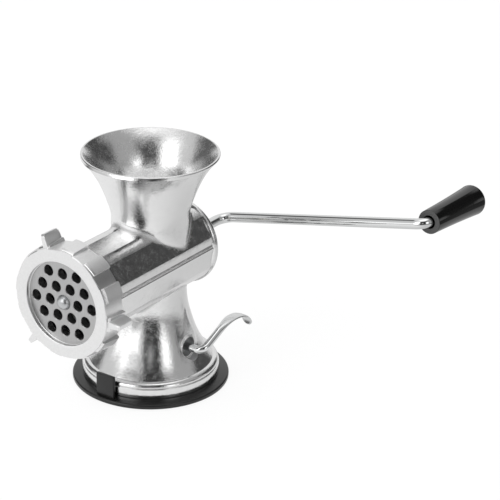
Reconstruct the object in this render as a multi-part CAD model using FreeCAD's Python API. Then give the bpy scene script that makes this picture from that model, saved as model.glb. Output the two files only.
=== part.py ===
import FreeCAD, Part
import math
import os

V = FreeCAD.Vector

# Driving dimensions, in millimetres and degrees. The table is at height 0. The hopper, pedestal and foot
# share the vertical axis. The barrel runs along Y at barrel_height, hole plate in front and crank behind.
barrel_height = 85.2

# Hole plate: trade size 8, one hexagon of holes whose middle place is taken by the spindle
plate_face = -87.8
plate_radius = 31.0
plate_thickness = 5.5
hole_pitch = 11.0
hole_radius = 3.55
hole_rings = 2
plate_turn = 2.5
key_pin_radius = 2.0
key_pin_offset = 31.4
key_pin_length = 8.0
key_clearance = 0.35

# Clamp ring: twelve pads around it, and a lug on three of them
ring_front = -90.8
ring_rear = -74.5
ring_radius = 36.0
ring_lip_radius = 27.3
ring_bore_radius = 34.2
pad_front_radius = 37.2
pad_radius = 38.3
pad_angle = 15.5
pad_setback = 1.6
pads = 12
first_pad = 112.6
lug_angles = (109.5, 231.5, 354.0)
lug_radius = 44.8
lug_width = 3.8
lug_setback = 1.2
lug_rear_setback = 1.0
lug_chamfer = 1.6
pad_chamfer = 1.2
pad_root = 1.0
ring_chamfer = 0.5

# Barrel casting: eight flats with narrow rounded strips between them
barrel_radius = 28.4
barrel_flats = 8
flat_angle = 30.0
first_flat = 35.0
head_radius = 33.9
head_front = -85.5
head_rear = -77.4
head_shoulder = 1.8
head_chamfer = 0.6
head_bore_radius = 31.15
head_bore_end = -78.4
bore_radius = 22.5
bore_rear = 24.0
flange_front = 30.0
flange_rear = 36.0
flange_radius = 29.3

# Hopper and neck, then pedestal: outer and inner outlines as (radius, height)
hopper_outer = [(44.5, 156.8), (41.4, 153.5), (38.7, 150.2), (35.2, 145.0), (32.0, 139.0), (29.4, 133.0),
                (27.2, 127.0), (25.3, 121.0), (24.25, 116.0), (24.3, 111.0), (24.6, 107.0), (24.95, 103.0),
                (25.25, 99.0), (25.4, 96.2), (25.4, 93.5), (25.4, 90.0)]
hopper_inner = [(43.1, 157.5), (39.7, 154.2), (36.5, 150.6), (32.3, 145.0), (28.9, 139.0), (26.7, 133.0),
                (24.7, 127.0), (22.8, 121.0), (21.2, 116.0), (20.5, 111.0)]
rim_top = 157.5
lip_inner = (43.5, 157.5)
lip_crown = (44.25, 157.3)
pedestal_outer = [(23.3, 76.0), (23.6, 60.0), (24.4, 53.0), (26.0, 46.0), (28.4, 38.0), (31.4, 30.0),
                  (34.5, 24.0), (37.6, 18.9), (40.8, 14.5)]
pedestal_inner = [(20.4, 54.0), (22.7, 46.0), (25.2, 38.0), (28.2, 30.0), (31.3, 24.0), (35.0, 17.5)]
cavity_top = 55.5
foot_height = 4.0
foot_inner_radius = 41.2
foot_wall_top = 8.0
bead_crown = (43.72, 13.62)
bead_foot = (44.6, 11.5)
bead_groove = (44.15, 10.95)
band_radius = 45.1
band_top = 10.6
band_round = 0.7

# Lever shaft across the pedestal, with its bosses
shaft_height = 28.8
shaft_radius = 6.42
shaft_bore_radius = 6.5
boss_radius = 8.4
boss_face = 31.4
boss_inner = 19.0
boss_fin_top = 50.5
boss_fin_tip = 1.3
boss_fin_lean = 4.4
boss_fin_root = 25.4
boss_shoulder = 7.0
spotface_radius = 7.7
shaft_end = 24.6
shaft_left_end = 31.6
stub_radius = 4.5
stub_length = 3.2
throw = 3.0
throw_start = -60.0
eccentric_radius = 3.5
eccentric_half = 14.0
clip_radius = 7.2
clip_thickness = 1.0
clip_gap = 0.3
clip_mouth = 7.0

# Suction lever: a rod bent back along the pedestal, then a flattened end along (y, z) places of its middle
lever_radius = 2.6
lever_plane = 42.2
lever_bend = 5.5
lever_rise = 23.6
lever_seat = 7.4
lever_length = 20.5
blade_path = [(17.5, 36.45), (21.5, 38.2), (26.3, 39.9), (30.4, 40.6), (34.8, 40.5), (39.2, 39.8),
              (43.0, 38.5), (46.4, 36.5), (48.9, 34.0), (50.4, 31.0), (51.0, 28.4)]
blade_half_width = [2.45, 2.9, 3.5, 3.9, 4.1, 4.2, 4.2, 4.1, 3.9, 3.2, 1.6]
blade_half_thick = [2.4, 2.0, 1.4, 1.1, 1.0, 1.0, 0.95, 0.9, 0.85, 0.8, 0.6]

# Suction cup and plunger
cup_radius = 51.6
cup_edge = 2.2
cup_shoulder = (50.6, 3.1)
cup_edge_round = (51.25, 2.85)
cup_seat_radius = 45.6
cup_lip_radius = 40.8
cup_lip_top = 6.8
cup_lip_inner = 37.5
membrane_radius = 32.0
membrane_top = 3.6
cup_chamfer = 0.8
tab_half_width = 7.0
tab_front = -48.8
tab_rear = -46.2
tab_top = 18.6
tab_bottom = 2.0
tab_round = 1.0
disc_radius = 22.0
disc_thickness = 2.0
stud_radius = 4.0
stud_top = 17.0
nut_flats = 13.0
nut_height = 4.0
yoke_bottom = 10.2
yoke_hub_radius = 7.0
yoke_hub_top = 19.0
yoke_top = 34.6
yoke_half_width = 11.0
yoke_half_thick = 5.0
slot_clearance = 0.4
yoke_overlap = 2.0
yoke_relief = 0.5

# Auger, spindle, knife and rear bearing
auger_front = -73.6
auger_rear = 22.0
auger_core_front = 11.5
auger_core_rear = 9.0
flight_radius = 21.8
flight_pitch = 30.0
flight_rear = 16.0
flight_front = -68.0
flight_root_thick = 6.0
flight_tip_thick = 3.0
flight_overlap = 2.0
shank_radius = 8.0
shank_collar_radius = 12.0
shank_end = 38.5
spindle_radius = 4.65
spindle_tip = -91.2
spindle_dome = (3.35, -90.2)
spindle_seat = 24.0
square_side = 9.5
fit_clearance = 0.05
knife_rear = -74.2
wing_rear = -78.9
knife_radius = 28.6
knife_hub_radius = 9.6
wing_width = 9.0
wing_edge = 1.2
washer_radius = 15.0
washer_thickness = 1.6
bush_radius = 10.2
bush_collar_radius = 13.0
bush_collar = 1.4

# Crank: threaded end in the shank, one bend into the arm and one into the grip's spindle
rod_radius = 3.5
rod_seat = 14.0
rod_seat_gap = 0.5
arm_plane = 80.5
arm_angle = 12.9
arm_length = 160.2
arm_bend = 9.0
grip_bend = 7.0
grip_droop = 2.8
crank_nut_flats = 12.0
crank_nut_height = 6.0
crank_washer_radius = 8.5
crank_washer_thickness = 1.4

# Grip on the crank, from its small end
grip_start = 4.75
grip_length = 54.7
grip_small_radius = 7.9
grip_large_radius = 10.2
grip_round = 1.6
grip_chamfer = 0.4
grip_hollow = 0.3
grip_bore = 3.58
grip_mouth_radius = 4.3
grip_mouth_depth = 6.5
grip_pocket_radius = 6.8
grip_pocket_depth = 5.0
push_nut_radius = 6.0
push_nut_thick = 0.9
push_nut_place = 50.9
rod_end_place = 52.3
cap_thick = 1.8
cap_crown = 0.6
cap_chamfer = 0.8

# How far a cutter runs past the face it cuts, and the smallest length that counts as one
over_cut = 1.0
hair = 0.01


def polar(radius, degrees):
    """A place around the barrel axis: angle 0 is +X and 90 is up."""
    turn = math.radians(degrees)
    return radius * math.cos(turn), radius * math.sin(turn)


def upright(radius, height):
    return V(radius, 0, height)


def lengthwise(radius, along):
    return V(radius, along, barrel_height)


def runs_through(points):
    """Straight runs from each point to the next."""
    return [[start, end] for start, end in zip(points, points[1:])]


def outline(runs, place):
    """Edges of an outline: two points make a line, three an arc and more a smooth curve."""
    edges = []
    for run in runs:
        points = [place(*point) for point in run]
        if len(points) == 2:
            edges.append(Part.makeLine(points[0], points[1]))
        elif len(points) == 3:
            edges.append(Part.Arc(points[0], points[1], points[2]).toShape())
        else:
            curve = Part.BSplineCurve()
            curve.interpolate(points)
            edges.append(curve.toShape())
    return edges


def turned(runs, place):
    """A solid of revolution, about the vertical axis or about the barrel's."""
    centre = V(0, 0, 0) if place is upright else V(0, 0, barrel_height)
    direction = V(0, 0, 1) if place is upright else V(0, 1, 0)
    face = Part.Face(Part.Wire(outline(runs, place)))
    return face.revolve(centre, direction, 360)


def turned_points(points, place):
    return turned(runs_through(points + points[:1]), place)


def rod_y(radius, start, end):
    """A round bar along the barrel axis."""
    return Part.makeCylinder(radius, end - start, V(0, start, barrel_height), V(0, 1, 0))


def pin_y(radius, start, end, x, z):
    """A round bar beside the barrel axis, at x across and z above it."""
    return Part.makeCylinder(radius, end - start, V(x, start, barrel_height + z), V(0, 1, 0))


def rod_x(radius, start, end, y=0.0, z=shaft_height):
    """A round bar across the pedestal."""
    return Part.makeCylinder(radius, end - start, V(start, y, z), V(1, 0, 0))


def rod_z(radius, bottom, top):
    return Part.makeCylinder(radius, top - bottom, V(0, 0, bottom), V(0, 0, 1))


def block(low, high):
    size = [h - l for l, h in zip(low, high)]
    return Part.makeBox(size[0], size[1], size[2], V(*low))


def hexagon(flats, height, base, direction):
    """A hexagonal prism from base along direction."""
    corner = flats / math.sqrt(3)
    points = [V(corner * math.cos(math.radians(60 * k)), corner * math.sin(math.radians(60 * k)), 0)
              for k in range(7)]
    prism = Part.Face(Part.makePolygon(points)).extrude(V(0, 0, height))
    prism.Placement = FreeCAD.Placement(base, FreeCAD.Rotation(V(0, 0, 1), direction))
    return prism


def barrel_outline(y):
    """The barrel's section at y: flats as chords, joined by arcs of the barrel's own radius."""
    pitch = 360.0 / barrel_flats
    edges = []
    for number in range(barrel_flats):
        middle = first_flat + pitch * number
        half = flat_angle / 2
        angles = [middle - half, middle + half, middle + pitch / 2, middle + pitch - half]
        places = [polar(barrel_radius, angle) for angle in angles]
        a, b, c, d = [V(x, y, barrel_height + z) for x, z in places]
        edges.append(Part.makeLine(a, b))
        edges.append(Part.Arc(b, c, d).toShape())
    return Part.Wire(edges)


def barrel_solid():
    """Flat-sided barrel, the head that the clamp ring covers, and the rear flange with its round rim."""
    barrel = Part.Face(barrel_outline(head_rear)).extrude(V(0, flange_front - head_rear, 0))
    head = turned_points([(0, head_front), (head_radius - head_chamfer, head_front),
                          (head_radius, head_front + head_chamfer), (head_radius, head_rear),
                          (barrel_radius, head_rear + head_shoulder),
                          (0, head_rear + head_shoulder)], lengthwise)
    thick = flange_rear - flange_front
    rim = thick / 2
    front = (flange_radius - rim, flange_front)
    crown = (flange_radius, flange_front + rim)
    rear = (flange_radius - rim, flange_rear)
    flange = turned([[(0, flange_front), front], [front, crown, rear], [rear, (0, flange_rear)],
                     [(0, flange_rear), (0, flange_front)]], lengthwise)
    return barrel.fuse([head, flange])


def hopper_solid():
    """Flared hopper, rolled lip and the neck that runs down into the barrel."""
    foot = hopper_outer[-1]
    return turned([hopper_outer, [foot, (0, foot[1])], [(0, foot[1]), (0, rim_top)],
                   [(0, rim_top), lip_inner], [lip_inner, lip_crown, hopper_outer[0]]], upright)


def funnel_space():
    """The inside of the hopper, down through the throat to the barrel's bore."""
    mouth = hopper_inner[0]
    throat = hopper_inner[-1]
    end = (throat[0], barrel_height)
    return turned([hopper_inner, [throat, end], [end, (0, barrel_height)],
                   [(0, barrel_height), (0, mouth[1])], [(0, mouth[1]), mouth]], upright)


def pedestal_solid():
    """Trumpet pedestal with the bead and band of its foot rim."""
    top = pedestal_outer[0]
    toe = pedestal_outer[-1]
    band = [(band_radius, band_top), (band_radius, foot_height + band_round),
            (band_radius - band_round, foot_height)]
    return turned([pedestal_outer, [toe, bead_crown, bead_foot], [bead_foot, bead_groove],
                   [bead_groove, band[0]], [band[0], band[1]], [band[1], band[2]],
                   [band[2], (0, foot_height)], [(0, foot_height), (0, top[1])], [(0, top[1]), top]], upright)


def pedestal_space():
    """The hollow under the pedestal, open at the foot."""
    crown = pedestal_inner[0]
    toe = pedestal_inner[-1]
    rim = (foot_inner_radius, foot_wall_top)
    bottom = foot_height - over_cut
    return turned([pedestal_inner, [toe, rim], [rim, (foot_inner_radius, bottom)],
                   [(foot_inner_radius, bottom), (0, bottom)],
                   [(0, bottom), (0, cavity_top)], [(0, cavity_top), crown]], upright)


def boss(side):
    """Round boss for the lever shaft with a fin that tapers up the pedestal, leaning to the rear, on the side
    at +X or -X."""
    round_part = rod_x(boss_radius, boss_inner, boss_face)
    left, right = -boss_radius, boss_radius
    fin_outline = Part.makePolygon([V(0, left, shaft_height), V(0, right, shaft_height),
                                    V(0, boss_fin_lean + boss_fin_tip, boss_fin_top),
                                    V(0, boss_fin_lean - boss_fin_tip, boss_fin_top),
                                    V(0, left, shaft_height)])
    fin = Part.Face(fin_outline).extrude(V(boss_face + over_cut, 0, 0))
    slope = Part.makePolygon([V(boss_inner, left, shaft_height), V(boss_face, left, shaft_height),
                              V(boss_face, left, shaft_height + boss_shoulder),
                              V(boss_fin_root, left, boss_fin_top), V(boss_inner, left, boss_fin_top),
                              V(boss_inner, left, shaft_height)])
    solid = round_part.fuse(fin.common(Part.Face(slope).extrude(V(0, 2 * boss_radius, 0))))
    return solid if side > 0 else solid.mirror(V(0, 0, 0), V(1, 0, 0))


def make_body_casting():
    outside = hopper_solid().fuse([barrel_solid(), pedestal_solid()])
    hollow = outside.cut(funnel_space())
    hollow = hollow.cut(rod_y(bore_radius, head_bore_end - over_cut, bore_rear))
    hollow = hollow.cut(rod_y(head_bore_radius, head_front - over_cut, head_bore_end))
    hollow = hollow.cut(rod_y(bush_radius, bore_rear - over_cut, flange_rear + over_cut))
    hollow = hollow.cut(pedestal_space())
    hollow = hollow.fuse([boss(1), boss(-1)])
    hollow = hollow.cut(rod_x(shaft_bore_radius, -cup_radius, cup_radius))
    for side in (boss_face, -cup_radius):
        hollow = hollow.cut(rod_x(spotface_radius, side, side + cup_radius - boss_face))
    hollow = hollow.cut(key_pin_solid())
    return hollow.removeSplitter()


def key_pin_solid():
    """Pin at the bottom of the head's counterbore, half in the wall and half in the plate's notch."""
    return pin_y(key_pin_radius, head_front, head_front + key_pin_length, 0, -key_pin_offset)


def make_clamp_ring():
    """Front lip and plain collar, pads with chamfered ends, and the lugs that a hand turns it by."""
    collar = turned_points([(ring_lip_radius, ring_front), (ring_radius - ring_chamfer, ring_front),
                            (ring_radius, ring_front + ring_chamfer), (ring_radius, ring_rear),
                            (ring_bore_radius, ring_rear), (ring_bore_radius, plate_face),
                            (ring_lip_radius, plate_face)], lengthwise)
    front = ring_front + pad_setback
    inner = ring_radius - pad_root
    pad_band = turned_points([(inner, front), (pad_front_radius - pad_chamfer, front),
                              (pad_front_radius, front + pad_chamfer),
                              (pad_radius, ring_rear - pad_chamfer / 2),
                              (pad_radius - pad_chamfer / 2, ring_rear), (inner, ring_rear)], lengthwise)
    lug_front = ring_front + lug_setback
    lug_rear = ring_rear - lug_rear_setback
    lug_band = turned_points([(inner, lug_front), (lug_radius - pad_chamfer, lug_front),
                              (lug_radius, lug_front + pad_chamfer), (lug_radius, lug_rear - lug_chamfer),
                              (lug_radius - lug_chamfer, lug_rear), (inner, lug_rear)], lengthwise)
    reach = lug_radius + over_cut
    grips = []
    for angle in lug_angles:
        bar = Part.makeBox(reach, ring_rear - ring_front, lug_width, V(0, ring_front, -lug_width / 2))
        bar.rotate(V(0, 0, 0), V(0, -1, 0), angle)
        bar.translate(V(0, 0, barrel_height))
        grips.append(lug_band.common(bar))
    for number in range(pads):
        angle = first_pad + number * 360.0 / pads
        sides = [polar(reach, angle - pad_angle / 2), polar(reach, angle + pad_angle / 2)]
        corners = [V(x, ring_front, barrel_height + z) for x, z in [(0, 0)] + sides + [(0, 0)]]
        wedge = Part.Face(Part.makePolygon(corners)).extrude(V(0, ring_rear - ring_front, 0))
        grips.append(pad_band.common(wedge))
    return collar.fuse(grips).removeSplitter()


def plate_holes():
    """Centres of the hexagonal pattern, without its middle."""
    places = []
    for row in range(-hole_rings, hole_rings + 1):
        for column in range(-hole_rings, hole_rings + 1):
            if abs(row + column) <= hole_rings and (row, column) != (0, 0):
                x = (column + row / 2) * hole_pitch
                z = -row * hole_pitch * math.sqrt(3) / 2
                places.append((math.hypot(x, z), math.degrees(math.atan2(z, x)) + plate_turn))
    return places


def make_hole_plate():
    plate = rod_y(plate_radius, plate_face, plate_face + plate_thickness)
    front = plate_face - over_cut
    rear = plate_face + plate_thickness + over_cut
    cutters = [rod_y(spindle_radius + fit_clearance, front, rear)]
    for radius, angle in plate_holes():
        x, z = polar(radius, angle)
        cutters.append(pin_y(hole_radius, front, rear, x, z))
    cutters.append(pin_y(key_pin_radius + key_clearance, front, rear, 0, -key_pin_offset))
    return plate.cut(cutters)


def make_cross_knife():
    """Four wings on a hub: each is flat against the plate and slopes away behind its cutting edge."""
    front = plate_face + plate_thickness + fit_clearance
    hub = rod_y(knife_hub_radius, front, knife_rear)
    wings = []
    for quarter in range(4):
        section = Part.makePolygon([V(0, front, -wing_width / 2), V(0, front, wing_width / 2),
                                    V(0, front + wing_edge, wing_width / 2), V(0, wing_rear, 0),
                                    V(0, wing_rear, -wing_width / 2), V(0, front, -wing_width / 2)])
        wing = Part.Face(section).extrude(V(knife_radius, 0, 0))
        wing.rotate(V(0, 0, 0), V(0, -1, 0), 45.0 + 90.0 * quarter)
        wing.translate(V(0, 0, barrel_height))
        wings.append(wing)
    knife = hub.fuse(wings).common(rod_y(knife_radius, front, knife_rear))
    half = square_side / 2 + fit_clearance
    hole = block((-half, front - over_cut, barrel_height - half),
                 (half, knife_rear + over_cut, barrel_height + half))
    return knife.cut(hole).removeSplitter()


def make_auger():
    """Tapered core with a screw flight that feeds towards the plate, and the shank that the crank drives."""
    core = turned_points([(0, auger_front), (auger_core_front, auger_front), (auger_core_rear, flight_rear),
                          (shank_collar_radius, auger_rear), (shank_radius, auger_rear),
                          (shank_radius, shank_end), (0, shank_end)], lengthwise)
    length = flight_rear - flight_front
    spine = Part.makeLongHelix(flight_pitch, length, flight_radius, 0, True)
    root = auger_core_rear - flight_overlap
    foot = flight_root_thick / 2
    tip = flight_tip_thick / 2
    section = Part.makePolygon([V(root, 0, -foot), V(flight_radius, 0, -tip), V(flight_radius, 0, tip),
                                V(root, 0, foot), V(root, 0, -foot)])
    flight = Part.Wire(spine).makePipeShell([section], True, True)
    flight.rotate(V(0, 0, 0), V(1, 0, 0), 90)
    flight.translate(V(0, flight_rear, barrel_height))
    auger = core.fuse(flight)
    auger = auger.cut(rod_y(spindle_radius, auger_front - over_cut, auger_front + spindle_seat))
    return auger.cut(rod_y(rod_radius, rod_seat - rod_seat_gap, shank_end + over_cut))


def make_auger_spindle():
    """Steel stud: a domed pin that runs in the plate, a square for the knife and a tail in the auger."""
    shoulder = plate_face + plate_thickness
    rim = (spindle_radius, plate_face)
    end = (spindle_radius, shoulder)
    pin = turned([[(0, spindle_tip), spindle_dome, rim], [rim, end], [end, (0, shoulder)],
                  [(0, shoulder), (0, spindle_tip)]], lengthwise)
    half = square_side / 2
    square = block((-half, shoulder, barrel_height - half), (half, auger_front, barrel_height + half))
    tail = rod_y(spindle_radius, auger_front, auger_front + spindle_seat)
    return pin.fuse([square, tail])


def tube_y(outer, inner, start, end):
    return rod_y(outer, start, end).cut(rod_y(inner, start - over_cut, end + over_cut))


def make_thrust_washer():
    return tube_y(washer_radius, shank_radius + fit_clearance, auger_rear, auger_rear + washer_thickness)


def make_rear_bush():
    sleeve = rod_y(bush_radius, bore_rear, flange_rear)
    sleeve = sleeve.fuse(rod_y(bush_collar_radius, flange_rear, flange_rear + bush_collar))
    return sleeve.cut(rod_y(shank_radius + fit_clearance, bore_rear - over_cut, shank_end)).removeSplitter()


def make_crank_washer():
    end = shank_end + crank_washer_thickness
    return tube_y(crank_washer_radius, rod_radius + fit_clearance, shank_end, end)


def make_crank_lock_nut():
    start = shank_end + crank_washer_thickness
    nut = hexagon(crank_nut_flats, crank_nut_height, V(0, start, barrel_height), V(0, 1, 0))
    return nut.cut(rod_y(rod_radius + fit_clearance, start - over_cut, start + crank_nut_height + over_cut))


arm_direction = V(math.cos(math.radians(arm_angle)), 0, math.sin(math.radians(arm_angle)))
droop = math.radians(grip_droop)
below_arm = V(0, 1, 0).cross(arm_direction)
grip_direction = V(0, 1, 0) * math.cos(droop) + below_arm * math.sin(droop)
grip_corner = V(0, arm_plane, barrel_height) + arm_direction * arm_length


def bent_path(corners, radii):
    """A wire of straight runs whose corners are rounded to the given radii."""
    edges = []
    start = corners[0]
    for corner, after, radius in zip(corners[1:], corners[2:], radii):
        back = (start - corner).normalize()
        ahead = (after - corner).normalize()
        half = back.getAngle(ahead) / 2
        middle = (back + ahead).normalize()
        first = corner + back * (radius / math.tan(half))
        last = corner + ahead * (radius / math.tan(half))
        top = corner + middle * (radius / math.sin(half) - radius)
        edges.append(Part.makeLine(start, first))
        edges.append(Part.Arc(first, top, last).toShape())
        start = last
    edges.append(Part.makeLine(start, corners[-1]))
    return Part.Wire(edges)


def bent_rod(path, radius):
    start = path.Edges[0].valueAt(path.Edges[0].FirstParameter)
    ahead = path.Edges[0].tangentAt(path.Edges[0].FirstParameter)
    ring = Part.Wire(Part.makeCircle(radius, start, ahead))
    return path.makePipeShell([ring], True, False)


def make_crank_rod():
    tip = grip_corner + grip_direction * (grip_start + rod_end_place)
    path = bent_path([V(0, rod_seat, barrel_height), V(0, arm_plane, barrel_height), grip_corner, tip],
                     [arm_bend, grip_bend])
    return bent_rod(path, rod_radius)


def on_grip(solid):
    """Takes a solid drawn about +Z, from the grip's small end at 0, to its place on the crank."""
    solid.Placement = FreeCAD.Placement(grip_corner + grip_direction * grip_start,
                                        FreeCAD.Rotation(V(0, 0, 1), grip_direction))
    return solid


def make_crank_grip():
    """Tapered grip with a mouth for the rod's bend and a pocket for the push nut."""
    mouth = (grip_small_radius - grip_chamfer, 0)
    small = (grip_small_radius, grip_chamfer)
    waist = ((grip_small_radius + grip_large_radius) / 2 - grip_hollow, grip_length / 2)
    shoulder = (grip_large_radius, grip_length - grip_round)
    inset = grip_round * (1 - math.sqrt(0.5))
    corner = (grip_large_radius - inset, grip_length - inset)
    face = (grip_large_radius - grip_round, grip_length)
    body = turned([[(0, 0), mouth], [mouth, small], [small, waist, shoulder], [shoulder, corner, face],
                   [face, (0, grip_length)], [(0, grip_length), (0, 0)]], upright)
    pocket = grip_length - grip_pocket_depth
    cutters = [rod_z(grip_bore, -over_cut, grip_length),
               rod_z(grip_mouth_radius, -over_cut, grip_mouth_depth),
               rod_z(grip_pocket_radius, pocket, grip_length + over_cut)]
    return on_grip(body.cut(cutters))


def make_grip_push_nut():
    nut = rod_z(push_nut_radius, push_nut_place, push_nut_place + push_nut_thick)
    return on_grip(nut.cut(rod_z(rod_radius, 0, grip_length)))


def make_grip_end_cap():
    """Plug in the grip's pocket, with a low crown."""
    bottom = grip_length - cap_thick
    top = grip_length + cap_crown
    cap = turned_points([(0, bottom), (grip_pocket_radius, bottom), (grip_pocket_radius, grip_length),
                         (grip_pocket_radius - cap_chamfer, top), (0, top)], upright)
    return on_grip(cap)


def make_suction_cup():
    """Flat rubber foot: a seat under the casting's rim, a lip inside it, a thin middle and the pull tab."""
    rim = (cup_radius, cup_edge)
    below = [(0, 0), (cup_radius - cup_chamfer, 0), (cup_radius, cup_chamfer), rim]
    above = [cup_shoulder, (cup_seat_radius, foot_height), (cup_lip_radius, foot_height),
             (cup_lip_radius, cup_lip_top), (cup_lip_inner, cup_lip_top), (membrane_radius, membrane_top),
             (0, membrane_top), (0, 0)]
    pad = turned(runs_through(below) + [[rim, cup_edge_round, cup_shoulder]] + runs_through(above), upright)
    tab = block((-tab_half_width, tab_front, tab_bottom), (tab_half_width, tab_rear, tab_top))
    upper = [edge for edge in tab.Edges if edge.BoundBox.ZMin > tab_top - hair]
    return pad.fuse(tab.makeFillet(tab_round, upper)).removeSplitter()


def make_plunger_disc():
    """Disc bonded to the cup's middle, with the stud that the yoke screws on to."""
    top = membrane_top + disc_thickness
    return rod_z(disc_radius, membrane_top, top).fuse(rod_z(stud_radius, top, stud_top)).removeSplitter()


def make_plunger_nut():
    bottom = membrane_top + disc_thickness
    nut = hexagon(nut_flats, nut_height, V(0, 0, bottom), V(0, 0, 1))
    return nut.cut(rod_z(stud_radius, bottom - over_cut, stud_top))


def eccentric_place(degrees):
    """Centre of the shaft's eccentric, as (y, z), at an angle above +Y."""
    y, z = polar(throw, degrees)
    return y, shaft_height + z


def make_plunger_yoke():
    """Yoke with a level slot: the eccentric turns in it and lifts it."""
    low_y, low_z = eccentric_place(throw_start)
    hub = rod_z(yoke_hub_radius, yoke_bottom, yoke_hub_top)
    plate = block((-yoke_half_thick, -yoke_half_width, yoke_hub_top - yoke_overlap),
                  (yoke_half_thick, yoke_half_width, yoke_top))
    upper = [edge for edge in plate.Edges if edge.BoundBox.ZMin > yoke_top - hair]
    corners = [edge for edge in upper if edge.BoundBox.YLength < hair]
    plate = plate.makeFillet(yoke_half_width / 2, corners)
    half = eccentric_radius + slot_clearance
    side = yoke_half_thick + over_cut
    near = rod_x(half, -side, side, low_y, low_z)
    far = rod_x(half, -side, side, throw, low_z)
    middle = block((-side, low_y, low_z - half), (side, throw, low_z + half))
    yoke = hub.fuse(plate).cut(rod_z(stud_radius, 0, stud_top + yoke_relief))
    return yoke.cut([near, far, middle]).removeSplitter()


def make_lever_shaft():
    """Two journals joined by an eccentric, a stub for the clip and a socket for the lever."""
    y, z = eccentric_place(throw_start)
    right = rod_x(shaft_radius, eccentric_half, shaft_end)
    left = rod_x(shaft_radius, -shaft_left_end, -eccentric_half)
    stub = rod_x(stub_radius, -shaft_left_end - stub_length, -shaft_left_end)
    middle = rod_x(eccentric_radius, -eccentric_half, eccentric_half, y, z)
    shaft = right.fuse([left, stub, middle])
    return shaft.cut(rod_x(lever_radius, shaft_end - lever_seat, shaft_end + over_cut)).removeSplitter()


def make_shaft_clip():
    start = -shaft_left_end - clip_gap - clip_thickness
    end = start + clip_thickness
    clip = rod_x(clip_radius, start, end).cut(rod_x(stub_radius, start - over_cut, end + over_cut))
    mouth = block((start - over_cut, -clip_mouth / 2, shaft_height - clip_radius - over_cut),
                  (end + over_cut, clip_mouth / 2, shaft_height))
    return clip.cut(mouth)


def make_suction_lever():
    """Rod out of the shaft, bent back along the pedestal, then flattened and curled over for the finger."""
    rise = V(0, math.cos(math.radians(lever_rise)), math.sin(math.radians(lever_rise)))
    corner = V(lever_plane, 0, shaft_height)
    seat = V(shaft_end - lever_seat, 0, shaft_height)
    path = bent_path([seat, corner, corner + rise * lever_length], [lever_bend])
    rings = []
    for number, ((y, z), wide, thick) in enumerate(zip(blade_path, blade_half_width, blade_half_thick)):
        before = blade_path[max(number - 1, 0)]
        after = blade_path[min(number + 1, len(blade_path) - 1)]
        along = V(0, after[0] - before[0], after[1] - before[1])
        ring = Part.Wire(Part.Ellipse(V(0, 0, 0), wide, thick).toShape())
        ring.Placement = FreeCAD.Placement(V(lever_plane, y, z), FreeCAD.Rotation(V(0, 0, 1), along))
        rings.append(ring)
    return bent_rod(path, lever_radius).fuse(Part.makeLoft(rings, True, False))


pieces = {
    "body_casting": make_body_casting,
    "plate_key_pin": key_pin_solid,
    "rear_bush": make_rear_bush,
    "clamp_ring": make_clamp_ring,
    "hole_plate": make_hole_plate,
    "cross_knife": make_cross_knife,
    "auger": make_auger,
    "auger_spindle": make_auger_spindle,
    "thrust_washer": make_thrust_washer,
    "crank_rod": make_crank_rod,
    "crank_washer": make_crank_washer,
    "crank_lock_nut": make_crank_lock_nut,
    "crank_grip": make_crank_grip,
    "grip_push_nut": make_grip_push_nut,
    "grip_end_cap": make_grip_end_cap,
    "suction_cup": make_suction_cup,
    "plunger_disc": make_plunger_disc,
    "plunger_nut": make_plunger_nut,
    "plunger_yoke": make_plunger_yoke,
    "lever_shaft": make_lever_shaft,
    "shaft_clip": make_shaft_clip,
    "suction_lever": make_suction_lever,
}

os.makedirs("parts", exist_ok=True)
for name, make in pieces.items():
    shape = make()
    print(name, "solids", len(shape.Solids), "valid", shape.isValid(), "volume", round(shape.Volume, 1))
    shape.exportStep("parts/" + name + ".step")
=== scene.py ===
"""Hand crank meat grinder on a suction foot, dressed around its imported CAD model."""
import math

import bmesh
import bpy
import numpy as np
from mathutils import Matrix, Vector
from mathutils.geometry import delaunay_2d_cdt


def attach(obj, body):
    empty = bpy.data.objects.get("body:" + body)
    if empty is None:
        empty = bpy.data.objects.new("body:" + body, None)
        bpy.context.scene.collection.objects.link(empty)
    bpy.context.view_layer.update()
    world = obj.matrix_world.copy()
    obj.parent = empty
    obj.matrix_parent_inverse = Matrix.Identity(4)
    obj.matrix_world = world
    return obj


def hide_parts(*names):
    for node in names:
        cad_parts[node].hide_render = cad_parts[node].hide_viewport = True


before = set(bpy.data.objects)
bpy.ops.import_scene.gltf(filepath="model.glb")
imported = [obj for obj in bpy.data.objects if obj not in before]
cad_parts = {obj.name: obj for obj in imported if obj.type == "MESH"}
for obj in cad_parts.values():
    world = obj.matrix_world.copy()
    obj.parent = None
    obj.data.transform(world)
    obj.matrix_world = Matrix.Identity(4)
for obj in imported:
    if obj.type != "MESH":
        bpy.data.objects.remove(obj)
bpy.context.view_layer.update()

# Body casting
# One aluminium casting: hopper, neck, flat-sided barrel with its screwed head and rear flange, and the
# trumpet pedestal. It was poured in a split mould, turned at the head and bore, then polished by hand.
mm = 0.001
barrel_height = 85.2
barrel_radius = 28.4
flat_pitch = 45.0
flat_angle = 30.0
first_flat = 35.0
flat_edge_round = 0.03
seam_turns = (5.0, 175.0)
seam_places = np.array([-0.6, 0.7, 4.8, 15.0])
seam_depths = np.array([0.0, 0.72, 0.86, 0.0])
hopper_outer = np.array([
    (25.4, 90.0), (25.4, 93.5), (25.4, 96.2), (25.25, 99.0), (24.95, 103.0), (24.6, 107.0), (24.3, 111.0),
    (24.25, 116.0), (25.3, 121.0), (27.2, 127.0), (29.4, 133.0), (32.0, 139.0), (35.2, 145.0), (38.7, 150.2),
    (41.4, 153.5), (44.5, 156.8)])
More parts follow.
